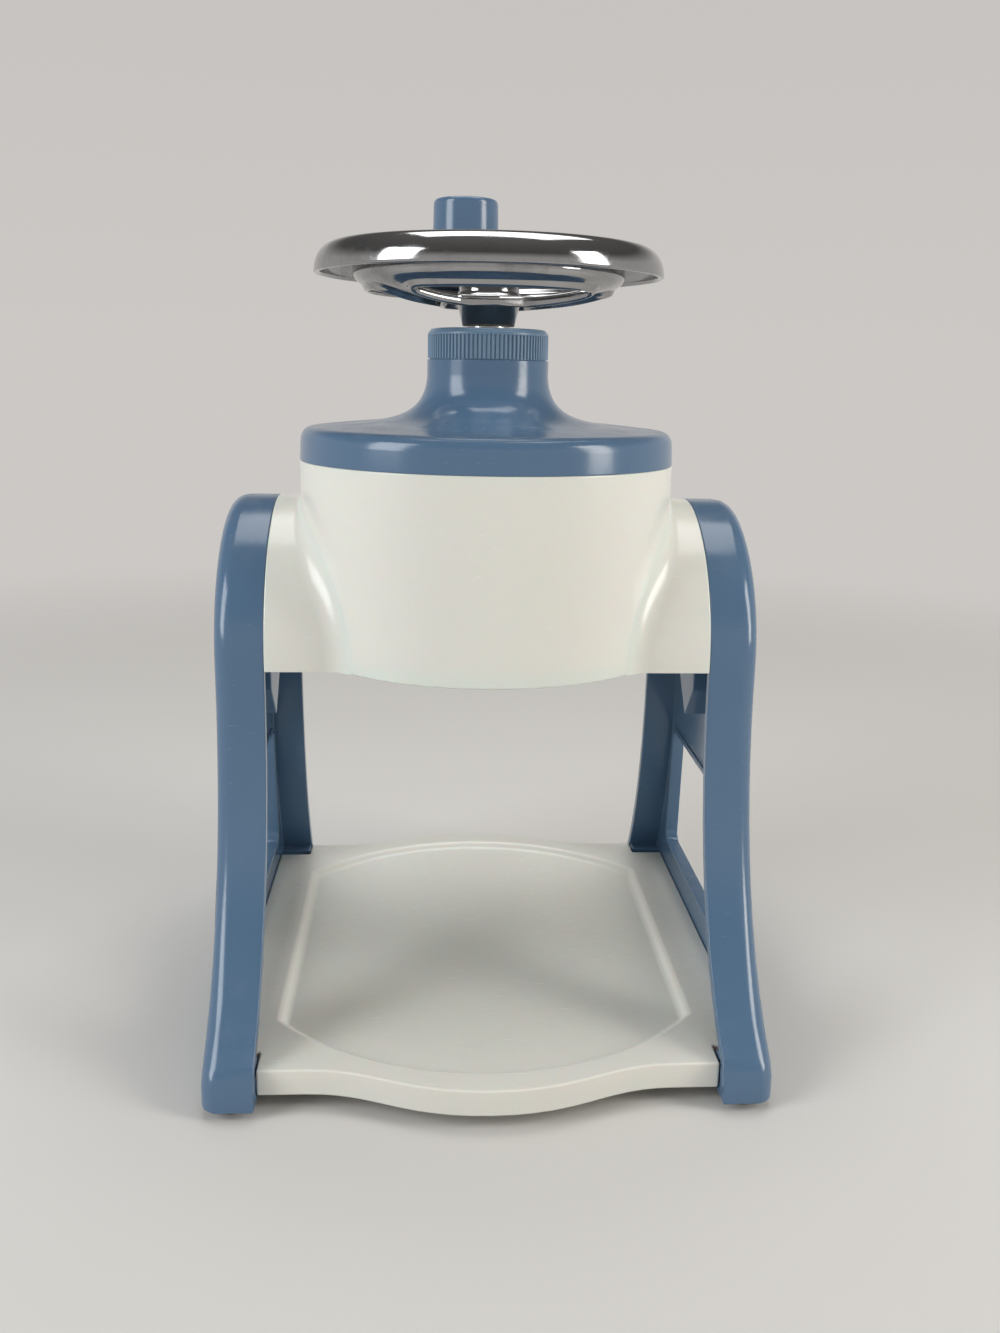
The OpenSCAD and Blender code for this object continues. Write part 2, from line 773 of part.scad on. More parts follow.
module collar() {
    r = neck_r - collar_inset;
    cap_r = r - rib_depth - 0.1;
    round_r = 1.6;
    color(collar_blue)
        difference() {
            union() {
                translate([0, 0, neck_top])
                    linear_extrude(collar_h - round_r)
                        polygon(ribbed(r, rib_depth, collar_ribs));
                translate([0, 0, collar_top - round_r])
                    rotate_extrude()
                        polygon(concat([[0, 0]], arc([cap_r - round_r, 0], round_r, round_r, 0, 90, 5),
                                       [[0, round_r]]));
            }
            translate([0, 0, neck_top - 1])
                cylinder(h = collar_h - collar_plate + 1, r = spigot_r + fit_gap);
            translate([0, 0, neck_top])
                cylinder(h = collar_h + 1, r = bush_r + 0.4 + fit_gap);
        }
}

module bush() {
    color(nylon)
        rotate_extrude()
            polygon([[sleeve_r + run_gap, bush_z], [bush_r, bush_z], [bush_r, spigot_top],
                     [bush_flange_r, spigot_top], [bush_flange_r, spigot_top + bush_flange_t],
                     [bush_r + 0.4, spigot_top + bush_flange_t], [bush_r + 0.4, collar_top + 0.3],
                     [sleeve_r + run_gap, collar_top + 0.3]]);
}

// The underside and the upper side of the wheel's dish, from the rim inwards
rim_in_r = wheel_r - rim_w;
dish_under = curve([[rim_in_r + wheel_t, rim_edge_z], [rim_in_r + wheel_t - 0.4, rim_edge_z - 5],
                    [rim_in_r - 12, dish_z + 0.6], [hub_r + 1.6, dish_z]], 10);
dish_upper = curve([[rim_in_r, rim_edge_z], [rim_in_r - 0.4, rim_edge_z - 3.6],
                    [rim_in_r - 12, dish_z + wheel_t + 0.8], [hub_r + 4, dish_z + wheel_t]], 10);

// An opening between two spokes, in plan, for the spokes that lie 60 degrees to each side
opening_in = 17;
opening_out = rim_in_r - 3;
function spoke_gap(grow) =
    let (out = opening_out + grow,
         edge = spoke_w / 2 - grow,
         wide = 60 - asin(edge / out),
         deep = 60 - asin(edge / opening_in))
    rounded(concat([for (k = [-4:4]) out * [cos(wide * k / 4), sin(wide * k / 4)]],
                   [opening_in * [cos(deep), sin(deep)], (opening_in - grow) * [1, 0],
                    opening_in * [cos(deep), -sin(deep)]]), 4 + grow, [0, 8, 9, 11]);

module handwheel() {
    lip = 1.4;
    lip_w = 1.8;
    color(bright_steel)
        difference() {
            union() {
                rotate_extrude($fn = 128)
                    polygon(concat(
                        [[hub_bore_r, hub_z], [hub_r, hub_z], [hub_r + 1.6, dish_z]],
                        [for (i = [len(dish_under) - 2:-1:0]) dish_under[i]],
                        arc([crown_r, rim_edge_z], rim_w / 2 - wheel_t, rim_h - wheel_t, 180, 0, 14),
                        arc([crown_r, rim_edge_z], rim_w / 2, rim_h, 0, 180, 16),
                        dish_upper,
                        [[hub_r + 1.4, dish_z + wheel_t + 1.5], [hub_r + 1, hub_top], [0, hub_top],
                         [0, sleeve_top], [hub_bore_r, sleeve_top]]));
                for (k = [0:2])
                    rotate(knob_turn + 60 + 120 * k)
                        intersection() {
                            rotate_extrude($fn = 128)
                                polygon(concat(dish_upper, [[hub_r + 4, dish_z - lip]],
                                               [for (i = [len(dish_under) - 2:-1:0]) dish_under[i] - [0, lip]]));
                            translate([0, 0, dish_z - 4])
                                linear_extrude(dish_drop + 6)
                                    polygon(spoke_gap(lip_w));
                        }
                translate([knob_x, knob_y, pad_z])
                    cylinder(h = pad_top - pad_z, r = pad_r);
            }
            for (k = [0:2])
                rotate(knob_turn + 60 + 120 * k)
                    translate([0, 0, dish_z - 6])
                        linear_extrude(dish_drop + 10)
                            polygon(spoke_gap(0));
            translate([0, 0, sleeve_top - 1])
                linear_extrude(hub_cap + 2)
                    stud_plan(fit_gap);
            translate([knob_x, knob_y, rim_edge_z])
                cylinder(h = rim_h + 1, r = knob_stud_r + fit_gap);
        }
}

// The sleeve's threaded end with its two flats, in plan
module stud_plan(grow) {
    intersection() {
        circle(r = stud_r + grow);
        square([4 * stud_r, 2 * (stud_flat + grow)], center = true);
    }
}

module drive_sleeve() {
    color(dull_steel)
        difference() {
            union() {
                translate([0, 0, sleeve_z])
                    cylinder(h = sleeve_top - sleeve_z, r = sleeve_r);
                translate([0, 0, sleeve_top])
                    linear_extrude(hub_cap)
                        stud_plan(0);
                translate([0, 0, hub_top])
                    cylinder(h = stud_l, r = stud_r);
            }
            translate([0, 0, ring_z])
                cylinder(h = shaft_top + disc_travel + 0.6 - ring_z, r = sleeve_bore_r);
            translate([0, 0, sleeve_z + mouth_l / 2])
                cube([shaft_w + 0.3, shaft_w + 0.3, mouth_l + 2], center = true);
            translate([0, 0, clip_z])
                ring(sleeve_r - clip_groove, sleeve_r + 1, clip_t);
        }
}

// A flat ring standing on height 0
module ring(r_in, r_out, h) {
    rotate_extrude()
        translate([r_in, 0])
            square([r_out - r_in, h]);
}

module wheel_washer() {
    color(dull_steel)
        translate([0, 0, hub_top])
            ring(stud_r + fit_gap, 8, wheel_washer_t);
}

module wheel_nut() {
    nut_z = hub_top + wheel_washer_t;
    color(bright_steel)
        difference() {
            union() {
                translate([0, 0, nut_z])
                    cylinder(h = wheel_nut_h, r = nut_wide / 2 / cos(30), $fn = 6);
                translate([0, 0, nut_z + wheel_nut_h])
                    rotate_extrude()
                        polygon(concat([[0, 0]], arc([0, 0], nut_wide / 2 - 0.6, 4.2, 0, 90, 8)));
            }
            translate([0, 0, nut_z - 1])
                cylinder(h = stud_l - wheel_washer_t + 2, r = stud_r + fit_gap);
        }
}

module knob_pin() {
    head_z = knob_top - knob_head_h - 0.4;
    stud_z = pad_z - knob_nut_h;
    color(bright_steel)
        translate([knob_x, knob_y, 0])
            rotate_extrude()
                polygon(concat(
                    [[0, stud_z], [knob_stud_r, stud_z], [knob_stud_r, pad_top],
                     [pad_r, pad_top], [pad_r, pad_top + knob_flange_t],
                     [knob_pin_r, pad_top + knob_flange_t], [knob_pin_r, head_z], [knob_head_r, head_z]],
                    arc([0, head_z], knob_head_r, knob_head_h, 20, 90, 6)));
}

module knob_nut() {
    color(dull_steel)
        translate([knob_x, knob_y, pad_z - knob_nut_h])
            difference() {
                cylinder(h = knob_nut_h, r = knob_nut_r, $fn = 6);
                translate([0, 0, -1])
                    cylinder(h = knob_nut_h + 2, r = knob_stud_r + fit_gap);
            }
}

module knob() {
    taper = 0.5;
    round_r = 1.8;
    head_z = knob_h - knob_head_h - 0.7;
    color(slate_blue)
        translate([knob_x, knob_y, knob_z])
            rotate_extrude()
                polygon(concat(
                    [[knob_pin_r + run_gap, 0], [knob_r - 0.6, 0], [knob_r, 0.6]],
                    arc([knob_r - taper - round_r, knob_h - round_r], round_r, round_r, 0, 90, 6),
                    [[knob_head_r + move_gap, knob_h], [knob_head_r + move_gap, head_z],
                     [knob_pin_r + run_gap, head_z]]));
}

module thrust_washer() {
    color(nylon)
        translate([0, 0, thrust_z])
            ring(sleeve_r + fit_gap, bush_r + 1.5, thrust_t);
}

// A snap ring with a gap, seated in the sleeve's groove
module retaining_clip() {
    color(dull_steel)
        translate([0, 0, clip_z])
            difference() {
                ring(sleeve_r - clip_groove + fit_gap, sleeve_r + 2, clip_t);
                translate([0, -2, -1])
                    cube([sleeve_r * 2, 4, clip_t + 2]);
            }
}

module spring_seat() {
    color(dull_steel)
        translate([0, 0, seat_z])
            rotate_extrude()
                polygon([[sleeve_r + fit_gap, 0], [seat_r - seat_lip, 0], [seat_r - seat_lip, -2], [seat_r, -2],
                         [seat_r, seat_t], [sleeve_r + fit_gap, seat_t]]);
}

// The spring's centre line: a helix with a straight end of one wire diameter at each end
spring_low = disc_hub_top + spring_gap + wire_d / 2;
spring_high = seat_z - spring_gap - wire_d / 2;
rings_per_turn = 8;
spring_rings = spring_turns * rings_per_turn;
function on_helix(i) =
    let (a = 360 * i / rings_per_turn)
    [spring_r * cos(a), spring_r * sin(a), spring_low + (spring_high - spring_low) * i / spring_rings];
spring_line = concat([on_helix(0) - [0, wire_d, 0]],
                     [for (i = [0:spring_rings]) on_helix(i)],
                     [on_helix(spring_rings) + [0, wire_d, 0]]);
spring_room = min([for (i = [0:len(spring_line) - 1]) for (j = [i + 5:1:len(spring_line) - 1])
                   norm(spring_line[i] - spring_line[j])]) - wire_d;
echo(spring_gap_to_itself = spring_room);

// A round wire swept along a line of points that winds about Z
module wire(line, d, sides) {
    count = len(line);
    points = [for (i = [0:count - 1])
        let (along = unit(line[min(i + 1, count - 1)] - line[max(i - 1, 0)]),
             out = unit([line[i].x, line[i].y, 0]),
             out_square = unit(out - (out * along) * along),
             up = cross(along, out_square))
        for (k = [0:sides - 1])
            let (a = 360 * k / sides)
            line[i] + d / 2 * (cos(a) * out_square + sin(a) * up)];
    walls = [for (i = [0:count - 2]) for (k = [0:sides - 1])
        let (a = i * sides + k, b = i * sides + (k + 1) % sides)
        each [[a, a + sides, b], [b, a + sides, b + sides]]];
    first = [for (k = [1:sides - 2]) [0, k, k + 1]];
    base = (count - 1) * sides;
    last = [for (k = [1:sides - 2]) [base, base + k + 1, base + k]];
    polyhedron(points, concat(walls, first, last));
}

module spring() {
    color(dull_steel)
        wire(spring_line, wire_d, 6);
}

module ice_disc() {
    rib_w = 2.4;
    color(warm_white)
        difference() {
            union() {
                translate([0, 0, disc_z])
                    cylinder(h = disc_t, r = disc_r);
                translate([0, 0, disc_z])
                    cylinder(h = disc_hub_h, r = disc_hub_r);
                translate([0, 0, disc_z])
                    ring(disc_r - rib_w, disc_r, disc_t + 2);
                for (k = [0:spike_count - 1])
                    rotate(360 * (k + 0.5) / spike_count)
                        translate([disc_hub_r - 1, -rib_w / 2, disc_z])
                            cube([disc_r - disc_hub_r, rib_w, disc_t + 2]);
            }
            translate([0, 0, shaft_z + disc_hub_h / 2])
                cube([shaft_w + 2 * fit_gap, shaft_w + 2 * fit_gap, disc_hub_h], center = true);
            translate([0, 0, disc_z - 1])
                cylinder(h = disc_t + 2, r = shaft_screw_r + fit_gap);
            for (k = [0:spike_count - 1])
                rotate(360 * k / spike_count)
                    translate([spike_circle, 0, disc_z - 1])
                        cylinder(h = disc_t + 2, r = spike_r + fit_gap);
        }
}

module spikes() {
    color(bright_steel)
        for (k = [0:spike_count - 1])
            rotate(360 * k / spike_count)
                translate([spike_circle, 0, disc_z])
                    rotate_extrude()
                        polygon([[0, -spike_l], [spike_r, 1 - spike_l / 2], [spike_r, disc_t],
                                 [spike_r + 1.2, disc_t], [spike_r + 0.8, disc_t + 1], [0, disc_t + 1]]);
}

module feed_shaft() {
    color(bright_steel)
        difference() {
            translate([-shaft_w / 2, -shaft_w / 2, shaft_z])
                cube([shaft_w, shaft_w, shaft_top - shaft_z]);
            translate([0, 0, ring_z])
                ring(shaft_w / 2 - 0.7, shaft_w, ring_t);
            translate([0, 0, shaft_z - 1])
                cylinder(h = shaft_hole_d + 1, r = shaft_screw_r + fit_gap);
        }
}

module shaft_ring() {
    color(dull_steel)
        translate([0, 0, ring_z])
            ring(shaft_w / 2 - 0.7 + fit_gap, sleeve_bore_r - run_gap * 3, ring_t);
}

module shaft_screw() {
    color(dull_steel)
        translate([0, 0, disc_z])
            screw(shaft_screw_r, shaft_hole_d + disc_t - 1, 4.6, 2.2);
}

base_plate();
left_frame();
right_frame();
feet();
plate_screws();
frame_screws();
hopper();
hopper_floor();
hopper_arms();
blade();
blade_clamp();
blade_screws();
lid();
collar();
bush();
handwheel();
drive_sleeve();
wheel_washer();
wheel_nut();
knob_pin();
knob_nut();
thrust_washer();
retaining_clip();
spring_seat();
spring();
knob();
ice_disc();
spikes();
feed_shaft();
shaft_ring();
shaft_screw();
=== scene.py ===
# %% [markdown]
# # A hand-cranked ice shaver
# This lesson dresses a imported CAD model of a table-top ice shaver. Two blue side frames carry
# a white hopper and a base plate, and a chrome handwheel on top turns a spiked disc over a
# blade. The CAD solids already have the right sizes, so the work here is in soft edges,
# smooth surfaces, finishes and light. Everything is in metres, with the front towards -Y.

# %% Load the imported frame
import json
import math

import bmesh
import bpy
from mathutils import Matrix, Vector


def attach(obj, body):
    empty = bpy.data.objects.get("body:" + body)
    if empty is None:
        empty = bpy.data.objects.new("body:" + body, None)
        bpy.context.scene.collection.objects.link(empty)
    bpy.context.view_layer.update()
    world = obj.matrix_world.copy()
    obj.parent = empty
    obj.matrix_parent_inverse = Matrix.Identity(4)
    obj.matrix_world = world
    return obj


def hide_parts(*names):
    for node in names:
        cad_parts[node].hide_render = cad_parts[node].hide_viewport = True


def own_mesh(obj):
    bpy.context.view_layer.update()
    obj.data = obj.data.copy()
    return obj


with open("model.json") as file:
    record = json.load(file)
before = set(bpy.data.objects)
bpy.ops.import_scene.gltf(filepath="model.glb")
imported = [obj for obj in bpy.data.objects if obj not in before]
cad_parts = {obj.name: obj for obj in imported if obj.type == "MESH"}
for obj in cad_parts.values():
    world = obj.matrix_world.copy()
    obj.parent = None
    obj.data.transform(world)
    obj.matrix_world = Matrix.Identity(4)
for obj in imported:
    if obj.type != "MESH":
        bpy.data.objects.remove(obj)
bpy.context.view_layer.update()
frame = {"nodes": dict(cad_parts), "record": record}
MM = 0.001
scene = bpy.context.scene

# %% [markdown]
# ## The camera
# The photograph was taken close to the object with a short lens, from a little to the left and
# from about the height of the collar. A camera that was fitted to the object's circles and edges
# gives its place, its three angles and its focal length, so the picture can be laid over the
# photograph. The long side of the sensor is 36 mm, and the focal length follows from that.

# %% Place the camera
EYE = Vector((-18.3, -395.3, 218.4)) * MM
YAW, PITCH, ROLL = (math.radians(angle) for angle in (3.5, 14.34, 1.05))
FOCAL_PX = 1157.8
LONG_SIDE_PX = 1333
SENSOR_MM = 36

ahead = Vector((math.sin(YAW) * math.cos(PITCH), math.cos(YAW) * math.cos(PITCH), -math.sin(PITCH)))
level = Vector((math.cos(YAW), -math.sin(YAW), 0))
upright = level.cross(ahead)
across = level * math.cos(ROLL) + upright * math.sin(ROLL)
above = upright * math.cos(ROLL) - level * math.sin(ROLL)

lens = bpy.data.cameras.new("photo_camera")
lens.sensor_width = SENSOR_MM
lens.lens = FOCAL_PX * SENSOR_MM / LONG_SIDE_PX
lens.clip_start = 0.01
camera = bpy.data.objects.new("photo_camera", lens)
scene.collection.objects.link(camera)
camera.matrix_world = Matrix.Translation(EYE) @ Matrix((across, above, -ahead)).transposed().to_4x4()
scene.camera = camera
print("lens", round(lens.lens, 2), "mm at", [round(x, 3) for x in EYE])

# %% [markdown]
# ## Floor, sky and lamps
# A plain pale floor keeps the shadow and fades out with distance, so that it has no far edge,
# and a soft sky fills the shade. Chrome shows what stands round it, so the sky is pale at the
# horizon and darker overhead, as a room is. Three soft lamps draw the long highlights: a tall
# one at the left, a narrow one at the right and a wide one above. The colours are shown as
# they are written, with the Standard view transform.

# %% Make the floor
def nodes_of(owner):
    """The emptied node tree of a material or a world."""
    owner.use_nodes = True
    owner.node_tree.nodes.clear()
    return owner.node_tree


def add(tree, kind, inputs=None, **settings):
    """A node of one kind with its settings, and with its inputs set or linked by name or number."""
    node = tree.nodes.new(kind)
    for name, value in settings.items():
        setattr(node, name, value)
    for name, value in (inputs or {}).items():
        if isinstance(value, bpy.types.NodeSocket):
            tree.links.new(value, node.inputs[name])
        else:
            node.inputs[name].default_value = value
    return node


FLOOR_RADIUS = 6
FLOOR_TINT = (0.70, 0.685, 0.66, 1)
FLOOR_DEEP_TINT = (0.66, 0.645, 0.62, 1)
FADE_FROM, FADE_TO = 0.30, 1.0

floor_mesh = bpy.data.meshes.new("floor")
work = bmesh.new()
bmesh.ops.create_circle(work, cap_ends=True, radius=FLOOR_RADIUS, segments=96)
work.to_mesh(floor_mesh)
work.free()
floor = bpy.data.objects.new("floor", floor_mesh)
scene.collection.objects.link(floor)
floor_paint = bpy.data.materials.new("floor_paint")
tree = nodes_of(floor_paint)
grain = add(tree, "ShaderNodeTexNoise", {"Scale": 9.0, "Detail": 3.0})
shade = add(tree, "ShaderNodeMix", {0: grain.outputs["Fac"], 6: FLOOR_TINT, 7: FLOOR_DEEP_TINT},
            data_type="RGBA")
skin = add(tree, "ShaderNodeBsdfPrincipled", {"Base Color": shade.outputs[2], "Roughness": 0.62,
                                              "Specular IOR Level": 0.15})
place = add(tree, "ShaderNodeTexCoord").outputs["Object"]
away = add(tree, "ShaderNodeVectorMath", {0: place}, operation="LENGTH")
fade = add(tree, "ShaderNodeMapRange", {"Value": away.outputs["Value"], "From Min": FADE_FROM,
                                        "From Max": FADE_TO}, interpolation_type="SMOOTHSTEP")
open_air = add(tree, "ShaderNodeBsdfTransparent")
floor_mix = add(tree, "ShaderNodeMixShader", {0: fade.outputs[0], 1: skin.outputs[0], 2: open_air.outputs[0]})
add(tree, "ShaderNodeOutputMaterial", {"Surface": floor_mix.outputs[0]})
floor_mesh.materials.append(floor_paint)
print("floor", FLOOR_RADIUS, "m")

# %% Make the sky and the lamps
SKY_GREYS = [(0.0, 0.80), (0.28, 0.76), (0.5, 0.16), (0.8, 0.22), (1.0, 0.30)]
SKY_STRENGTH = 0.75

world = bpy.data.worlds.new("studio")
scene.world = world
tree = nodes_of(world)
way = add(tree, "ShaderNodeTexCoord")
height = add(tree, "ShaderNodeSeparateXYZ", {0: way.outputs["Generated"]})
sky = add(tree, "ShaderNodeValToRGB", {0: height.outputs["Z"]})
for position, _ in SKY_GREYS[1:-1]:
    sky.color_ramp.elements.new(position)
for stop, (position, grey) in zip(sky.color_ramp.elements, SKY_GREYS):
    stop.position = position
    stop.color = (grey, grey * 0.965, grey * 0.93, 1)
glow = add(tree, "ShaderNodeBackground", {"Color": sky.outputs[0], "Strength": SKY_STRENGTH})
add(tree, "ShaderNodeOutputWorld", {"Surface": glow.outputs[0]})

LAMP_AIM = Vector((0, 0, 0.14))


def lamp(name, place, wide, tall, watts, tint=(1, 1, 1)):
    """A soft rectangular lamp that faces the shaver."""
    data = bpy.data.lights.new(name, "AREA")
    data.shape = "RECTANGLE"
    data.size, data.size_y, data.energy, data.color = wide, tall, watts, tint
    thing = bpy.data.objects.new(name, data)
    scene.collection.objects.link(thing)
    thing.location = place
    thing.rotation_euler = (LAMP_AIM - Vector(place)).to_track_quat("-Z", "Y").to_euler()
    return thing


lamp("left_softbox", (-1.0, -0.50, 0.62), 0.5, 0.8, 8.5, (0.95, 0.98, 1.0))
lamp("right_strip", (1.0, -0.42, 0.55), 0.35, 0.8, 7.5, (1.0, 0.97, 0.92))
lamp("top_softbox", (0.05, 0.25, 1.15), 0.8, 0.6, 5)
scene.view_settings.view_transform = "Standard"

# %% [markdown]
# ## Shared effects
# All the plastics are moulded, so they share one node group: a slight clouding of the colour,
# the fine unevenness of a mould's skin, hairline scuffs from use, and a little dust on what
# faces up. All the metals share another: dull blotches where the plating has aged and fine
# scratches. A group keeps such an effect in one place, and each material gives it its own
# values. The groups only put out colours, values and normals; the shaders stay outside.

# %% Make the node group for moulded plastic
def group(name, inputs, outputs):
    """A shader node group with its sockets, its input node and its output node."""
    made = bpy.data.node_groups.new(name, "ShaderNodeTree")
    for title, kind, value in inputs:
        socket = made.interface.new_socket(title, in_out="INPUT", socket_type=kind)
        socket.default_value = value
    for title, kind in outputs:
        made.interface.new_socket(title, in_out="OUTPUT", socket_type=kind)
    return made, made.nodes.new("NodeGroupInput"), made.nodes.new("NodeGroupOutput")


COLOR, FLOAT, VECTOR = "NodeSocketColor", "NodeSocketFloat", "NodeSocketVector"


def maths(tree, how, a, b):
    """The result of one sum on two sockets or numbers."""
    return add(tree, "ShaderNodeMath", {0: a, 1: b}, operation=how).outputs[0]


def between(tree, share, low, high):
    """A share of 0 to 1 laid out from low to high."""
    return add(tree, "ShaderNodeMapRange", {"Value": share, "To Min": low, "To Max": high}).outputs[0]


def blend(tree, share, first, second):
    """A mix of two colours."""
    return add(tree, "ShaderNodeMix", {0: share, 6: first, 7: second}, data_type="RGBA").outputs[2]


def window(tree, value, low, high):
    """A value's place between low and high, from 0 to 1."""
    return add(tree, "ShaderNodeMapRange", {"Value": value, "From Min": low, "From Max": high}).outputs[0]


moulded, give, take = group(
    "moulded_skin",
    [("Tint", COLOR, (0.5, 0.5, 0.5, 1)), ("Deep Tint", COLOR, (0.4, 0.4, 0.4, 1)),
     ("Dust Tint", COLOR, (0.6, 0.58, 0.53, 1)), ("Gloss", FLOAT, 0.2), ("Scuffs", FLOAT, 0.15),
     ("Dust", FLOAT, 0.1), ("Unevenness", FLOAT, 0.05)],
    [("Color", COLOR), ("Roughness", FLOAT), ("Normal", VECTOR)])
where = add(moulded, "ShaderNodeTexCoord").outputs["Object"]
cloud = add(moulded, "ShaderNodeTexNoise", {"Vector": where, "Scale": 22.0, "Detail": 4.0})
peel = add(moulded, "ShaderNodeTexNoise", {"Vector": where, "Scale": 420.0, "Detail": 2.0})
drawn = add(moulded, "ShaderNodeMapping", {"Vector": where, "Rotation": (0.3, 0.5, 0.9),
                                           "Scale": (1.0, 12.0, 6.0)})
hair = add(moulded, "ShaderNodeTexNoise", {"Vector": drawn.outputs[0], "Scale": 160.0, "Detail": 6.0})
scuffed = window(moulded, hair.outputs["Fac"], 0.60, 0.72)
facing = add(moulded, "ShaderNodeSeparateXYZ", {0: add(moulded, "ShaderNodeNewGeometry").outputs["Normal"]})
level_up = window(moulded, facing.outputs["Z"], 0.55, 1.0)
motes = add(moulded, "ShaderNodeTexNoise", {"Vector": where, "Scale": 95.0, "Detail": 8.0})
settled = window(moulded, motes.outputs["Fac"], 0.45, 0.75)
dusty = maths(moulded, "MULTIPLY", maths(moulded, "MULTIPLY", level_up, settled), give.outputs["Dust"])
plain = blend(moulded, cloud.outputs["Fac"], give.outputs["Tint"], give.outputs["Deep Tint"])
colour = blend(moulded, dusty, plain, give.outputs["Dust Tint"])
worn = maths(moulded, "MULTIPLY", scuffed, give.outputs["Scuffs"])
rough = maths(moulded, "ADD", maths(moulded, "ADD", give.outputs["Gloss"], worn), dusty)
rough = maths(moulded, "ADD", rough, between(moulded, cloud.outputs["Fac"], -0.03, 0.03))
relief = add(moulded, "ShaderNodeBump", {"Strength": give.outputs["Unevenness"], "Distance": 0.0004,
                                         "Height": peel.outputs["Fac"]})
for title, socket in (("Color", colour), ("Roughness", rough), ("Normal", relief.outputs[0])):
    moulded.links.new(socket, take.inputs[title])
print("group", moulded.name, "with", len(moulded.nodes), "nodes")

# %% Make the node group for plated and ground metal
plated, give, take = group(
    "aged_metal",
    [("Tint", COLOR, (0.7, 0.7, 0.7, 1)), ("Dull Tint", COLOR, (0.4, 0.4, 0.4, 1)), ("Polish", FLOAT, 0.1),
     ("Dullness", FLOAT, 0.25), ("Blotch Scale", FLOAT, 60.0), ("Scratches", FLOAT, 0.05),
     ("Grain", VECTOR, (1.0, 1.0, 1.0))],
    [("Color", COLOR), ("Roughness", FLOAT), ("Normal", VECTOR)])
where = add(plated, "ShaderNodeTexCoord").outputs["Object"]
blotch = add(plated, "ShaderNodeTexNoise", {"Vector": where, "Scale": give.outputs["Blotch Scale"],
                                            "Detail": 9.0, "Roughness": 0.65})
aged = window(plated, blotch.outputs["Fac"], 0.5, 0.74)
drawn = add(plated, "ShaderNodeMapping", {"Vector": where, "Scale": give.outputs["Grain"]})
lines = add(plated, "ShaderNodeTexNoise", {"Vector": drawn.outputs[0], "Scale": 500.0, "Detail": 5.0})
colour = blend(plated, aged, give.outputs["Tint"], give.outputs["Dull Tint"])
dulled = maths(plated, "MULTIPLY", aged, give.outputs["Dullness"])
rough = maths(plated, "ADD", give.outputs["Polish"], dulled)
rough = maths(plated, "ADD", rough, between(plated, lines.outputs["Fac"], 0.0, 0.06))
relief = add(plated, "ShaderNodeBump", {"Strength": give.outputs["Scratches"], "Distance": 0.0002,
                                        "Height": lines.outputs["Fac"]})
for title, socket in (("Color", colour), ("Roughness", rough), ("Normal", relief.outputs[0])):
    plated.links.new(socket, take.inputs[title])
print("group", plated.name, "with", len(plated.nodes), "nodes")

# %% [markdown]
# ## The finishes
# The blue frames, lid and knob are one glossy slate-blue plastic, and the ribbed collar is a
# paler one. The hopper and plate are a warm white that lets a little light into its surface.
# The wheel is worn chrome, the small steel parts are zinc-plated, the blade is ground along
# its length, the bush is nylon and the feet are brown-black rubber.

# %% Make the materials
def finish(name, effect, values, **sockets):
    """A material: one shader whose colour, roughness and normal come from a shared effect."""
    made = bpy.data.materials.new(name)
    tree = nodes_of(made)
    source = add(tree, "ShaderNodeGroup", node_tree=effect)
    for title, value in values.items():
        source.inputs[title].default_value = value
    shader = add(tree, "ShaderNodeBsdfPrincipled", {
        "Base Color": source.outputs["Color"], "Roughness": source.outputs["Roughness"],
        "Normal": source.outputs["Normal"]})
    for title, value in sockets.items():
        shader.inputs[title.replace("_", " ")].default_value = value
    add(tree, "ShaderNodeOutputMaterial", {"Surface": shader.outputs[0]})
    return made


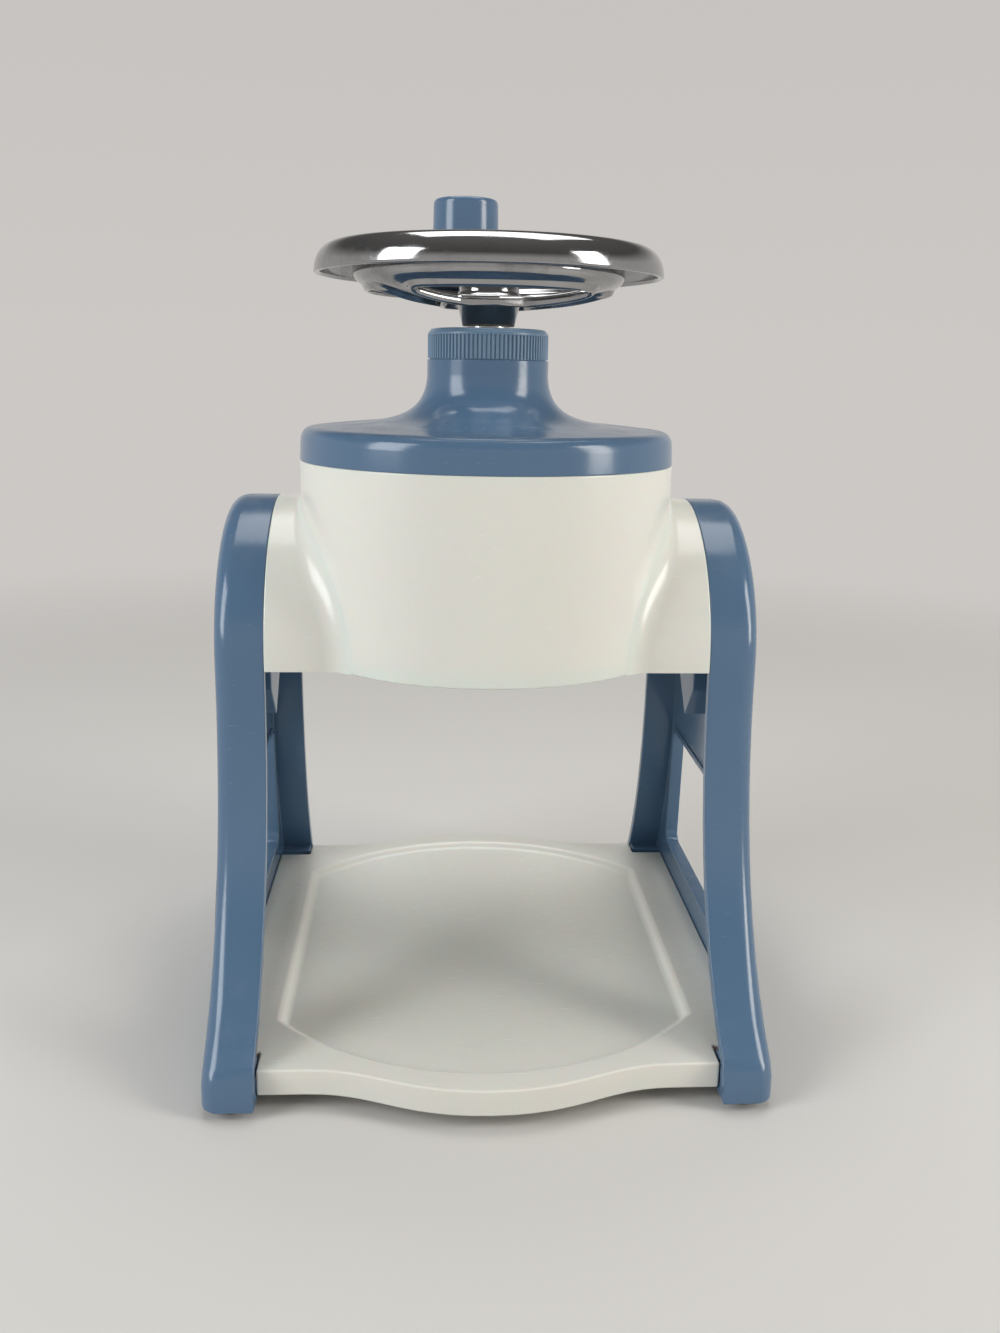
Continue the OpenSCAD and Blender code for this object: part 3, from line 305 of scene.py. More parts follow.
FINISHES = {
    "blue_plastic": finish("slate_blue_plastic", moulded, {
        "Tint": (0.094, 0.170, 0.275, 1), "Deep Tint": (0.082, 0.152, 0.252, 1), "Gloss": 0.17,
        "Scuffs": 0.12, "Dust": 0.10, "Unevenness": 0.035}, IOR=1.5),
    "collar_plastic": finish("collar_blue_plastic", moulded, {
        "Tint": (0.150, 0.250, 0.365, 1), "Deep Tint": (0.130, 0.225, 0.335, 1), "Gloss": 0.30,
        "Scuffs": 0.15, "Dust": 0.12, "Unevenness": 0.04}, IOR=1.5),
    "white_plastic": finish("warm_white_plastic", moulded, {
        "Tint": (0.800, 0.795, 0.740, 1), "Deep Tint": (0.770, 0.765, 0.705, 1), "Gloss": 0.20,
        "Scuffs": 0.10, "Dust": 0.06, "Unevenness": 0.03},
        IOR=1.5, Subsurface_Weight=0.25, Subsurface_Scale=0.004),
    "nylon": finish("natural_nylon", moulded, {
        "Tint": (0.66, 0.64, 0.55, 1), "Deep Tint": (0.60, 0.58, 0.49, 1), "Gloss": 0.42, "Scuffs": 0.1,
        "Dust": 0.0, "Unevenness": 0.05}),
    "rubber": finish("foot_rubber", moulded, {
        "Tint": (0.055, 0.043, 0.036, 1), "Deep Tint": (0.040, 0.031, 0.026, 1), "Gloss": 0.62, "Scuffs": 0.2,
        "Dust": 0.25, "Unevenness": 0.25}),
    "chrome": finish("worn_chrome", plated, {
        "Tint": (0.38, 0.38, 0.385, 1), "Dull Tint": (0.25, 0.25, 0.255, 1), "Polish": 0.06, "Dullness": 0.22,
        "Blotch Scale": 70.0, "Scratches": 0.02, "Grain": (1.0, 1.0, 1.0)}, Metallic=1.0),
    "steel": finish("zinc_steel", plated, {
        "Tint": (0.50, 0.50, 0.50, 1), "Dull Tint": (0.33, 0.33, 0.34, 1), "Polish": 0.22, "Dullness": 0.2,
        "Blotch Scale": 180.0, "Scratches": 0.05, "Grain": (1.0, 1.0, 0.3)}, Metallic=1.0),
    "blade_steel": finish("ground_steel", plated, {
        "Tint": (0.60, 0.60, 0.61, 1), "Dull Tint": (0.48, 0.48, 0.49, 1), "Polish": 0.18, "Dullness": 0.12,
        "Blotch Scale": 120.0, "Scratches": 0.08, "Grain": (0.08, 3.0, 3.0)}, Metallic=1.0),
}
print("finishes", sorted(FINISHES))

# %% [markdown]
# ## Soft edges on the CAD solids
# A CAD solid arrives as loose triangles with razor edges. Moulded plastic and pressed metal
# have none: every edge is a little round and catches a line of light. A welded copy of the
# solid gets a narrow bevel on its sharp edges, smooth shading elsewhere, and normals that
# follow the large faces. The copy joins the node's body and the node is hidden. This serves
# the pieces with flat faces and small turned parts; the large curved pieces are built further down.

# %% Make the helpers for dressing
record = frame["record"]
slot_of = {part["node"]: part["material_slot"] for part in record["subparts"]}
body_of = {node: body for body, members in record["behaviour"]["bodies"].items() for node in members}


def settle(piece, node):
    """Gives a finished piece its material and its body, and hides the node that it stands for."""
    piece.data.materials.clear()
    piece.data.materials.append(FINISHES[slot_of[node]])
    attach(piece, body_of[node])
    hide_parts(node)
    return piece


def new_piece(name, mesh):
    """A new object in the scene with a mesh."""
    thing = bpy.data.objects.new(name, mesh)
    scene.collection.objects.link(thing)
    return thing


def baked(piece):
    """The piece with its modifiers worked into its mesh."""
    graph = bpy.context.evaluated_depsgraph_get()
    result = bpy.data.meshes.new_from_object(piece.evaluated_get(graph))
    piece.modifiers.clear()
    piece.data = result
    return piece


def smooth(piece, turn, even=True, crease=None):
    """Smooth shading up to an angle; even gives normals that follow the large faces, crease sharp places."""
    mesh = piece.data
    mesh.polygons.foreach_set("use_smooth", [True] * len(mesh.polygons))
    mesh.set_sharp_from_angle(angle=math.radians(turn))
    for edge in mesh.edges if crease else ():
        if all(crease(mesh.vertices[k].co) for k in edge.vertices):
            edge.use_edge_sharp = True
    if even:
        piece.modifiers.new("even_normals", "WEIGHTED_NORMAL").keep_sharp = True
        baked(piece)
    return piece


SHARP_TURN, FLAT_TURN = 38, 0.6
BROAD_ROUND, BROAD_TURN = 1.3, 0.5
CAD_WELD = 2e-6


def dressed(node, edge, turn=SHARP_TURN, shift=None, crease=None, wide=None):
    """A welded copy of a CAD node with a bevel of so many millimetres; shift may move a vertex.

    crease picks places for sharp edges, and wide picks places whose edges get a broad rounding first.
    """
    mesh = frame["nodes"][node].data.copy()
    work = bmesh.new()
    work.from_mesh(mesh)
    bmesh.ops.remove_doubles(work, verts=work.verts, dist=CAD_WELD)
    bmesh.ops.dissolve_limit(work, angle_limit=math.radians(FLAT_TURN), verts=work.verts, edges=work.edges)
    for vert in work.verts if shift else ():
        vert.co = shift(vert.co)
    if wide:
        broad = [e for e in work.edges
                 if e.calc_face_angle(0) > BROAD_TURN and all(wide(v.co) for v in e.verts)]
        bmesh.ops.bevel(work, geom=broad, offset=BROAD_ROUND * MM, segments=4, profile=0.5, affect="EDGES",
                        clamp_overlap=False)
        print(node, "broad edges", len(broad))
    work.to_mesh(mesh)
    work.free()
    piece = new_piece(node + "_piece", mesh)
    if edge:
        bevel = piece.modifiers.new("soft_edges", "BEVEL")
        bevel.width, bevel.segments = edge * MM, 2
        bevel.limit_method, bevel.angle_limit = "ANGLE", math.radians(turn)
        bevel.use_clamp_overlap = False
        bevel.miter_outer = "MITER_ARC"
        baked(piece)
    return settle(smooth(piece, turn, crease=crease), node)


# %% Dress the solids
FOOT_BEND_Z, FOOT_BEND_Y, BEND_ROOM = 16, 82, 0.2
RECESS_R, RECESS_HALF, RECESS_LOW = 88.2, 67.2, 10.9


def foot_crease(place):
    """Whether a place lies on the bend between a frame's foot and its leg."""
    return abs(place.z - FOOT_BEND_Z * MM) < BEND_ROOM * MM and abs(place.y) > FOOT_BEND_Y * MM


def recess_edge(place):
    """Whether a place lies within the outline of the base plate's dish recess, above the underside."""
    inside = math.hypot(place.x, place.y) < RECESS_R * MM and abs(place.x) < RECESS_HALF * MM
    return inside and place.z > RECESS_LOW * MM


for node in ("left_frame", "right_frame"):
    dressed(node, 0.5, crease=foot_crease)
dressed("base_plate", 0.7, wide=recess_edge)
SOFT_EDGES = {
    "feet": 0.3, "blade": 0, "blade_clamp": 0.15,
    "blade_screws": 0, "bush": 0.15, "drive_sleeve": 0.15, "wheel_washer": 0.15, "wheel_nut": 0.25,
    "knob_pin": 0.1, "knob_nut": 0.15, "thrust_washer": 0.1, "retaining_clip": 0, "spring_seat": 0.1,
    "ice_disc": 0.25, "feed_shaft": 0.2, "shaft_ring": 0, "shaft_screw": 0}
for node, edge in SOFT_EDGES.items():
    dressed(node, edge)
print("dressed", len(SOFT_EDGES) + 3, "nodes")

# %% [markdown]
# ## Turned pieces: the chamber, the lid and the knob
# These are round, so each is an outline turned about an axis. The outline is a list of radius
# and height in millimetres; curves come from four control points, and corners are rounded
# before turning, which gives even rings of faces and clean highlights. A Screw modifier could
# turn an outline too; building the rings directly leaves the outline open to matching others.

# %% Make the helpers for turned outlines
def bezier(a, b, c, d, count):
    """Points along a cubic curve, both ends included."""
    a, b, c, d = (Vector(q) for q in (a, b, c, d))
    steps = (k / count for k in range(count + 1))
    return [a * (1 - t) ** 3 + b * 3 * (1 - t) ** 2 * t + c * 3 * (1 - t) * t * t + d * t ** 3 for t in steps]


def softened(points, steps=5):
    """A closed outline in which a third number at a corner is its rounding radius."""
    result = []
    for k, q in enumerate(points):
        here = Vector(q[:2])
        if len(q) < 3:
            result.append(here)
            continue
        back = (Vector(points[k - 1][:2]) - here).normalized()
        on = (Vector(points[(k + 1) % len(points)][:2]) - here).normalized()
        reach = q[2] / math.tan(back.angle(on) / 2)
        first, last = here + back * reach, here + on * reach
        result += [first * (1 - t) ** 2 + here * 2 * t * (1 - t) + last * t * t
                   for t in (n / steps for n in range(steps + 1))]
    return result


def turned(work, outline, segments, closed=True, middle=(0, 0)):
    """Adds an outline of radius and height, turned about a vertical axis, to a bmesh."""
    rings = []
    for radius, height in outline:
        count = segments if radius > 1e-6 else 1
        turns = (2 * math.pi * k / segments for k in range(count))
        rings.append([work.verts.new(((middle[0] + radius * math.cos(a)) * MM,
                                      (middle[1] + radius * math.sin(a)) * MM, height * MM)) for a in turns])
    pairs = list(zip(rings, rings[1:])) + ([(rings[-1], rings[0])] if closed else [])
    for one, two in pairs:
        for k in range(segments):
            corners = [one[k % len(one)], one[(k + 1) % len(one)], two[(k + 1) % len(two)], two[k % len(two)]]
            corners = list(dict.fromkeys(corners))
            if len(corners) > 2:
                work.faces.new(corners)


def block(work, low, high):
    """Adds a box between two corners in millimetres."""
    size = [(b - a) * MM for a, b in zip(low, high)]
    middle = [(a + b) / 2 * MM for a, b in zip(low, high)]
    bmesh.ops.create_cube(work, size=1, matrix=Matrix.Translation(middle) @ Matrix.Diagonal((*size, 1)))


WELD = 1e-6


def made(work, name):
    """A piece from a bmesh, welded, with its faces turned outward."""
    bmesh.ops.remove_doubles(work, verts=work.verts, dist=WELD)
    bmesh.ops.recalc_face_normals(work, faces=work.faces)
    mesh = bpy.data.meshes.new(name)
    work.to_mesh(mesh)
    work.free()
    return new_piece(name, mesh)


def carved(piece, boxes):
    """The piece with boxes cut out of it."""
    work = bmesh.new()
    for low, high in boxes:
        block(work, low, high)
    cutter = made(work, "cutter")
    cut = piece.modifiers.new("cut", "BOOLEAN")
    cut.object, cut.operation, cut.solver = cutter, "DIFFERENCE", "EXACT"
    baked(piece)
    bpy.data.objects.remove(cutter)
    return piece


ROUND_TURN, FINE_TURN, CURL_TURN = 35, 40, 50
LARGE_ROUND, COLLAR_ROUND, KNOB_ROUND, PAD_ROUND, SCREW_ROUND = 192, 180, 96, 48, 40
print("large turned pieces have", LARGE_ROUND, "faces round")

# %% Turn the chamber and draw its floor under it
HOPPER_Z, FLOOR_TOP, RIM_Z = 125.6, 129.6, 189
HOPPER_R, BORE_R, SEAM_R = 62, 58, 61.2
KEY_HALF, KEY_Z, KEY_TOP = 1.5, 178, 188
RIM_ROOM = 0.06

work = bmesh.new()
turned(work, softened([(HOPPER_R, HOPPER_Z, 0.9), (HOPPER_R, RIM_Z, 0.5), (BORE_R, RIM_Z, 0.5),
                       (BORE_R, FLOOR_TOP), (SEAM_R, FLOOR_TOP), (SEAM_R, HOPPER_Z)]), LARGE_ROUND)
for side in (-1, 1):
    block(work, (side * BORE_R - KEY_HALF, -KEY_HALF, KEY_Z), (side * BORE_R + KEY_HALF, KEY_HALF, KEY_TOP))
settle(smooth(made(work, "chamber_wall"), ROUND_TURN), "hopper")


def drawn_under(place):
    """Takes the floor's rim in to the seam under the chamber's wall."""
    radius = math.hypot(place.x, place.y) / MM
    if abs(radius - HOPPER_R) > RIM_ROOM:
        return place.copy()
    return Vector((place.x * SEAM_R / radius, place.y * SEAM_R / radius, place.z))


dressed("hopper_floor", 0, shift=drawn_under)
print("turned the chamber")

# %% Turn the lid and the knob
SLOT_HALF_L, SLOT_HALF_W, SLOT_Z = 7, 2, 183

work = bmesh.new()
lid_line = [(62, 0, 0.35), (61.7, 6.2)] + bezier((61.7, 6.2), (61.5, 9.4), (60, 10.6), (57, 10.8), 14)[1:]
lid_line += bezier((44, 12.1), (28.5, 13.0), (20.6, 16.2), (20, 27.8), 30)
lid_line += [(20, 32.6, 0.3), (17.2, 32.6), (17.2, 39), (9.1, 39), (9.1, 30), (17.2, 30)]
lid_line += bezier((17.2, 18.8), (17.8, 11.8), (28, 10), (44, 9.3), 10)
lid_line += [(54.8, 8), (54.8, -5), (57.6, -5, 0.3), (57.6, 0)]
turned(work, [(q[0], q[1] + RIM_Z) for q in softened([tuple(q) for q in lid_line])], LARGE_ROUND)
slots = [((side * BORE_R - SLOT_HALF_L, -SLOT_HALF_W, SLOT_Z),
          (side * BORE_R + SLOT_HALF_L, SLOT_HALF_W, RIM_Z)) for side in (-1, 1)]
lid = carved(made(work, "lid_shell"), slots)
settle(smooth(lid, ROUND_TURN), "lid")

KNOB_AT = (-6.42, 48.78)
KNOB_R, KNOB_Z, KNOB_TOP = 12, 258.3, 277.5
PIN_BORE_R, HEAD_BORE_R, HEAD_BORE_H = 3.05, 5.4, 3.1
work = bmesh.new()
turned(work, softened([(PIN_BORE_R, KNOB_Z), (KNOB_R, KNOB_Z, 0.6), (KNOB_R - 0.45, KNOB_TOP, 2.0),
                       (HEAD_BORE_R, KNOB_TOP, 0.5), (HEAD_BORE_R, KNOB_TOP - HEAD_BORE_H),
                       (PIN_BORE_R, KNOB_TOP - HEAD_BORE_H)]), KNOB_ROUND, middle=KNOB_AT)
settle(smooth(made(work, "knob_grip"), ROUND_TURN), "knob")
print("turned the lid and the knob")

# %% [markdown]
# ## The arms
# Each arm carries the arch of its frame over to the chamber, and a soft hollow blend joins the
# two, wide at the bottom and narrow at the top. A ball that rolls along the joint touches the
# arm on one side and the chamber on the other; the blend is the path of its surface. So the
# arm is a loft: at each point of the arch a section runs in from the frame, round the ball and
# into the chamber's wall. Behind the chamber the arms end on a round scoop instead.

# %% Draw the arch
OPEN_X = 70.7
FOOT_Z = 3
ARCH_TOP, WAIST, REAR, APEX = 172.8, 41, 65.5, 8
LEG_TOP, REAR_LEG_TOP = 124.0, 112.0
LEG_PULL, FRONT_PULL, REAR_PULL = 0.6, 0.44, 0.56
END_ROOM, END_SET = 0.5, 0.05

front = bezier((-WAIST, LEG_TOP), (-WAIST, LEG_TOP + (ARCH_TOP - LEG_TOP) * LEG_PULL),
               (APEX - (APEX + WAIST) * FRONT_PULL, ARCH_TOP), (APEX, ARCH_TOP), 56)
rear = bezier((APEX, ARCH_TOP), (APEX + (REAR - APEX) * REAR_PULL, ARCH_TOP),
              (REAR, REAR_LEG_TOP + (ARCH_TOP - REAR_LEG_TOP) * LEG_PULL), (REAR, REAR_LEG_TOP), 64)
FLOOR_LEVEL = HOPPER_Z - FOOT_Z
arch = [Vector((-WAIST, FLOOR_LEVEL))] + front + [q for q in rear[1:] if q.y > FLOOR_LEVEL + END_ROOM]
arch.append(Vector((REAR - END_SET, FLOOR_LEVEL)))
print("arch of", len(arch), "points")

# %% Loft the arms
SCOOP_R, SCOOP_Y = 75, 120
BALL_WIDE, BALL_NARROW, BALL_FALL = 12, 2.2, 1.2
BALL_STEPS = 14
EDGE, WALL_BITE = 0.5, 0.5


def arm_section(k):
    """Points in from the frame, along the arm, round the ball and down inside the chamber's wall."""
    y, z = arch[k]
    along = (arch[min(k + 1, len(arch) - 1)] - arch[max(k - 1, 0)]).normalized()
    out = Vector((0, -along.y, along.x)) if 0 < k < len(arch) - 1 else Vector((0, -1 if k == 0 else 1, 0))
    point = Vector((0, y, z + FOOT_Z))
    rim = [Vector((OPEN_X - x, 0, 0)) + point - out * (EDGE - EDGE * lift)
           for x, lift in ((0, 0), (EDGE * 0.12, 0.5), (EDGE * 0.5, 0.88), (EDGE, 1))]
    ball = max(BALL_NARROW, BALL_WIDE * (max(-y, 0) / WAIST) ** BALL_FALL)
    middle = point + out * ball
    room = (HOPPER_R + ball) ** 2 - middle.y ** 2
    scoop_x = math.sqrt(max(0, SCOOP_R ** 2 - (SCOOP_Y - y) ** 2))
    if room > 0 and math.sqrt(room) > scoop_x:
        middle.x = math.sqrt(room)
        to_arm = -out
        to_wall = Vector((-middle.x, -middle.y, 0)).normalized()
        whole = to_arm.angle(to_wall)
        steps = (n / BALL_STEPS for n in range(BALL_STEPS + 1))
        round_ball = [middle + ball * (math.sin(whole * (1 - t)) * to_arm + math.sin(whole * t) * to_wall)
                      / math.sin(whole) for t in steps]
        inside = round_ball[-1].copy()
        inside.xy = inside.xy.normalized() * (HOPPER_R - WALL_BITE)
    else:
        inside = Vector((scoop_x, y, point.z))
        round_ball = [inside] * (BALL_STEPS + 1)
    return rim + round_ball + [inside, Vector((inside.x, inside.y, HOPPER_Z))]


work = bmesh.new()
for side in (1, -1):
    loft = [[work.verts.new((q.x * side * MM, q.y * MM, q.z * MM)) for q in arm_section(k)]
            for k in range(len(arch))]
    for one, two in zip(loft, loft[1:]):
        for a, b, c, d in zip(one, one[1:], two[1:], two):
            work.faces.new((a, b, c, d))
    work.faces.new([section[0] for section in loft])
    work.faces.new([section[-1] for section in loft] + loft[-1][-2:0:-1] + [loft[-1][0]] + loft[0][:-1])
bmesh.ops.remove_doubles(work, verts=work.verts, dist=WELD)
bmesh.ops.dissolve_degenerate(work, edges=work.edges, dist=WELD)
settle(smooth(made(work, "hopper_arm_pair"), FINE_TURN), "hopper_arms")
print("lofted", len(arch), "sections on each arm")

# %% [markdown]
# ## The handwheel
# The wheel is pressed from sheet: a rolled rim, a dish with three openings whose edges are
# curled down, and a hub. Chrome shows every uneven face, so nothing is cut out of it here.
# The rim and the hub are turned outlines, and each third of the dish is a net of faces between
# its opening and its own border, laid on the dish's curve. The curl is a few more rows that
# follow the opening, each with its own inset and its own height.

# %% Draw the dish's curves
HUB_Z, DISH_Z, EDGE_Z, CROWN_Z = 232.2, 239.1, 247.9, 256.8
HUB_TOP, SLEEVE_TOP, PAD_Z, PAD_TOP = 244.9, 242.3, 251.3, 257.0
CROWN_R, RIM_HALF, SHEET = 49.2, 7.2, 2
upper = bezier((42, EDGE_Z), (41.6, EDGE_Z - 3.6), (30, DISH_Z + SHEET + 0.8), (12.6, DISH_Z + SHEET), 60)
under = bezier((44, EDGE_Z), (43.6, EDGE_Z - 5), (30, DISH_Z + 0.6), (10.2, DISH_Z), 60)


def on_line(line, radius):
    """The height of a curve of falling radius at one radius."""
    for one, two in zip(line, line[1:]):
        if two.x <= radius <= one.x:
            return one.y + (two.y - one.y) * (one.x - radius) / max(one.x - two.x, 1e-9)
    return line[-1].y


def evenly(points, count):
    """So many points at equal steps along a line, without its last point."""
    spans = [(b - a).length for a, b in zip(points, points[1:])]
    result = []
    for n in range(count):
        left = sum(spans) * n / count
        k = 0
        while left > spans[k] and k < len(spans) - 1:
            left -= spans[k]
            k += 1
        result.append(points[k].lerp(points[k + 1], left / max(spans[k], 1e-9)))
    return result


print("dish curves of", len(upper), "and", len(under), "points")

# %% Draw an opening and the border of its third
WHEEL_TURN = math.radians(97.5)
SPOKE_W, GAP_IN, GAP_OUT, GAP_ROUND = 13, 17, 39, 4
NET_OUT, NET_IN = 41.6, 13.0
SIDES = (40, 20, 40, 20)
ARC_STEPS = 12
HALF_THIRD = math.radians(60)


def gap_border(grow):
    """The opening grown by an amount, as four sides that start at the middle of its corners."""
    out, edge = GAP_OUT + grow, SPOKE_W / 2 - grow
    wide = HALF_THIRD - math.asin(edge / out)
    deep = HALF_THIRD - math.asin(edge / GAP_IN)
    bow = [Vector((out * math.cos(a), out * math.sin(a))) for a in (wide * k / 24 for k in range(-18, 19))]
    ends = [Vector((out * math.cos(wide), sign * out * math.sin(wide))) for sign in (-1, 1)]
    deeps = [Vector((GAP_IN * math.cos(deep), sign * GAP_IN * math.sin(deep))) for sign in (1, -1)]
    points = [ends[0]] + bow + [ends[1], deeps[0], Vector((GAP_IN - grow, 0)), deeps[1]]
    corners = (0, len(bow) + 1, len(bow) + 2, len(bow) + 4)
    radius = GAP_ROUND + grow
    line, marks = [], []
    for k, here in enumerate(points):
        if k not in corners:
            line.append(here)
            continue
        back = (points[k - 1] - here).normalized()
        on = (points[(k + 1) % len(points)] - here).normalized()
        half = back.angle(on) / 2
        centre = here + (back + on).normalized() * radius / math.sin(half)
        first = here + back * radius / math.tan(half) - centre
        last = here + on * radius / math.tan(half) - centre
        whole = first.angle(last)
        arc = [centre + (first * math.sin(whole * (1 - t)) + last * math.sin(whole * t)) / math.sin(whole)
               for t in (n / ARC_STEPS for n in range(ARC_STEPS + 1))]
        marks.append(len(line) + ARC_STEPS // 2)
        line += arc
    line = line[marks[0]:] + line[:marks[0]]
    cuts = [mark - marks[0] for mark in marks] + [len(line)]
    line.append(line[0])
    return [q for a, b, count in zip(cuts, cuts[1:], SIDES) for q in evenly(line[a:b + 1], count)]


def net_border():
    """The border of one third of the dish, with the same four sides."""
    def bow(radius, start, stop, count):
        """Points along an arc about the middle."""
        return [Vector((radius * math.cos(a), radius * math.sin(a)))
                for a in (start + (stop - start) * n / count for n in range(count))]

    def ray(start, stop, turn, count):
        """Points along a line out of the middle."""
        way = Vector((math.cos(turn), math.sin(turn)))
        return [way * (start + (stop - start) * n / count) for n in range(count)]

    return (bow(NET_OUT, -HALF_THIRD, HALF_THIRD, SIDES[0]) + ray(NET_OUT, NET_IN, HALF_THIRD, SIDES[1])
            + bow(NET_IN, HALF_THIRD, -HALF_THIRD, SIDES[2]) + ray(NET_IN, NET_OUT, -HALF_THIRD, SIDES[3]))


border = net_border()
print("border of", len(border), "points")

# %% Weave the dish
NET_ROWS = 6
CURL = [(2.0, upper, 0), (1.0, upper, 0), (0.45, upper, -0.1), (0.12, upper, -0.4), (0, upper, -0.9),
        (0, under, -0.7), (0.15, under, -1.15), (0.5, under, -1.4), (1.0, under, -1.45), (1.5, under, -1.2),
        (1.8, under, -0.6), (2.2, under, 0)]
rows = []
for (grow, line, _), ahead_of in ((CURL[0], True), (CURL[-1], False)):
    loop = gap_border(grow)
    spread = [[(a.lerp(b, n / NET_ROWS), line, 0) for a, b in zip(loop, border)]
              for n in range(NET_ROWS, 0, -1)]
    if ahead_of:
        rows += spread
        rows += [[(q, curve, low) for q in gap_border(inset)] for inset, curve, low in CURL]
    else:
        rows += spread[::-1]
work = bmesh.new()
for third in range(3):
    spin = Matrix.Rotation(WHEEL_TURN + math.radians(60 + 120 * third), 2)
    net = []
    for row in rows:
        net.append([])
        for plan, line, drop in row:
            x, y = spin @ plan
            net[-1].append(work.verts.new((x * MM, y * MM, (on_line(line, plan.length) + drop) * MM)))
    for one, two in zip(net, net[1:]):
        for k in range(len(one)):
            work.faces.new((one[k - 1], one[k], two[k], two[k - 1]))
print("dish of", len(work.faces), "faces")

# %% Turn the rim, the hub and the knob's pad, and join the wheel
WHEEL_ROUND = 3 * SIDES[0]
spin = Matrix.Rotation(WHEEL_TURN, 4, "Z")
rise = CROWN_Z - EDGE_Z
crown = [(CROWN_R + RIM_HALF * math.cos(a), EDGE_Z + rise * math.sin(a))
         for a in (math.pi * (1 - n / 40) for n in range(41))]
roll = [(CROWN_R + (RIM_HALF - SHEET) * math.cos(a), EDGE_Z + (rise - SHEET) * math.sin(a))
        for a in (math.pi * n / 32 for n in range(33))]
rim = [(NET_OUT, on_line(upper, NET_OUT))] + [tuple(q) for q in upper[::-1] if q.x > NET_OUT] + crown[1:]
rim += [(56.1, EDGE_Z - 0.3), (55.4, EDGE_Z - 0.4), (54.7, EDGE_Z - 0.3)] + roll
rim += [tuple(q) for q in under[1:] if q.x > NET_OUT]
rim += [(NET_OUT, on_line(under, NET_OUT))]
hub = [(NET_IN, on_line(upper, NET_IN)), (11.4, DISH_Z + 2.3), (10.3, DISH_Z + 3.2), (9.9, HUB_TOP - 1.8),
       (9.75, HUB_TOP - 0.5), (9.3, HUB_TOP), (4.1, HUB_TOP), (4.1, SLEEVE_TOP), (7.1, SLEEVE_TOP),
       (7.1, HUB_Z), (8.3, HUB_Z), (8.6, HUB_Z + 0.3), (10.1, DISH_Z - 0.4), (10.8, DISH_Z),
       (NET_IN, on_line(under, NET_IN))]
pad = [(0, PAD_Z), (5.9, PAD_Z), (6.2, PAD_Z + 0.3), (6.2, PAD_TOP - 0.2), (6.0, PAD_TOP), (0, PAD_TOP)]
shell = bmesh.new()
turned(shell, rim, WHEEL_ROUND, closed=False)
turned(shell, hub, WHEEL_ROUND, closed=False)
bmesh.ops.rotate(shell, verts=shell.verts, cent=(0, 0, 0), matrix=spin)
turned(shell, pad, PAD_ROUND, closed=False, middle=KNOB_AT)
holder = bpy.data.meshes.new("holder")
shell.to_mesh(holder)
shell.free()
work.from_mesh(holder)
wheel = made(work, "pressed_wheel")
settle(smooth(wheel, CURL_TURN, even=False), "handwheel")
print("wheel of", len(wheel.data.polygons), "faces")

# %% [markdown]
# ## Repeats and windings
# The collar's ribs, the spring's turns, the spikes and the screws are repeats, and Geometry
# Nodes suits those: a small tree places one shape on a circle, on a few points or along a
# spiral, and its named inputs say how many and how large. The tree ends by making real mesh of
# its instances and giving it a material, and the result is kept as a plain mesh.

# %% Make the ribbed collar
GEOMETRY, INTEGER = "NodeSocketGeometry", "NodeSocketInt"


def growth(name, inputs, build, values):
    """A piece grown by a node tree: build gets the tree and its inputs and returns a geometry socket."""
    tree = bpy.data.node_groups.new(name, "GeometryNodeTree")
    sockets = {title: tree.interface.new_socket(title, in_out="INPUT", socket_type=kind)
               for title, kind in inputs}
    tree.interface.new_socket("Geometry", in_out="OUTPUT", socket_type=GEOMETRY)
    give = tree.nodes.new("NodeGroupInput")
    take = tree.nodes.new("NodeGroupOutput")
    shape = build(tree, give.outputs)
    real = add(tree, "GeometryNodeRealizeInstances", {0: shape})
    even = add(tree, "GeometryNodeSetShadeSmooth", {0: real.outputs[0]})
    paint = add(tree, "GeometryNodeSetMaterial", {"Geometry": even.outputs[0]})
    tree.links.new(paint.outputs[0], take.inputs[0])
    piece = new_piece(name, bpy.data.meshes.new(name))
    grow = piece.modifiers.new("growth", "NODES")
    grow.node_group = tree
    for title, value in values.items():
        if title == "Material":
            paint.inputs["Material"].default_value = value
        else:
            grow[sockets[title].identifier] = value
    return baked(piece)


def ring_of(tree, shape, count, radius, height):
    """Instances of a shape on a circle, each turned to face outward."""
    circle = add(tree, "GeometryNodeMeshCircle", {"Vertices": count, "Radius": radius})
    lift = add(tree, "ShaderNodeCombineXYZ", {"Z": height})
    raised = add(tree, "GeometryNodeSetPosition", {"Geometry": circle.outputs[0], "Offset": lift.outputs[0]})
    place = add(tree, "GeometryNodeInputPosition")
    flat = add(tree, "ShaderNodeVectorMath", {0: place.outputs[0], 1: (1, 1, 0)}, operation="MULTIPLY")
    turn = add(tree, "FunctionNodeAlignRotationToVector", {"Vector": flat.outputs[0]}, axis="X")
    return add(tree, "GeometryNodeInstanceOnPoints", {"Points": raised.outputs[0], "Instance": shape,
                                                     "Rotation": turn.outputs[0]}).outputs[0]


def rib_tree(tree, take):
    """Round ribs on a circle."""
    rib = add(tree, "GeometryNodeMeshCylinder", {"Vertices": 12, "Radius": take["Rib Radius"],
                                                 "Depth": take["Rib Length"]})
    return ring_of(tree, rib.outputs[0], take["Count"], take["Radius"], take["Height"])


def joined(name, pieces):
    """One piece from several; the single ones go."""
    work = bmesh.new()
    for piece in pieces:
        work.from_mesh(piece.data)
        bpy.data.objects.remove(piece)
    mesh = bpy.data.meshes.new(name)
    work.to_mesh(mesh)
    work.free()
    return new_piece(name, mesh)


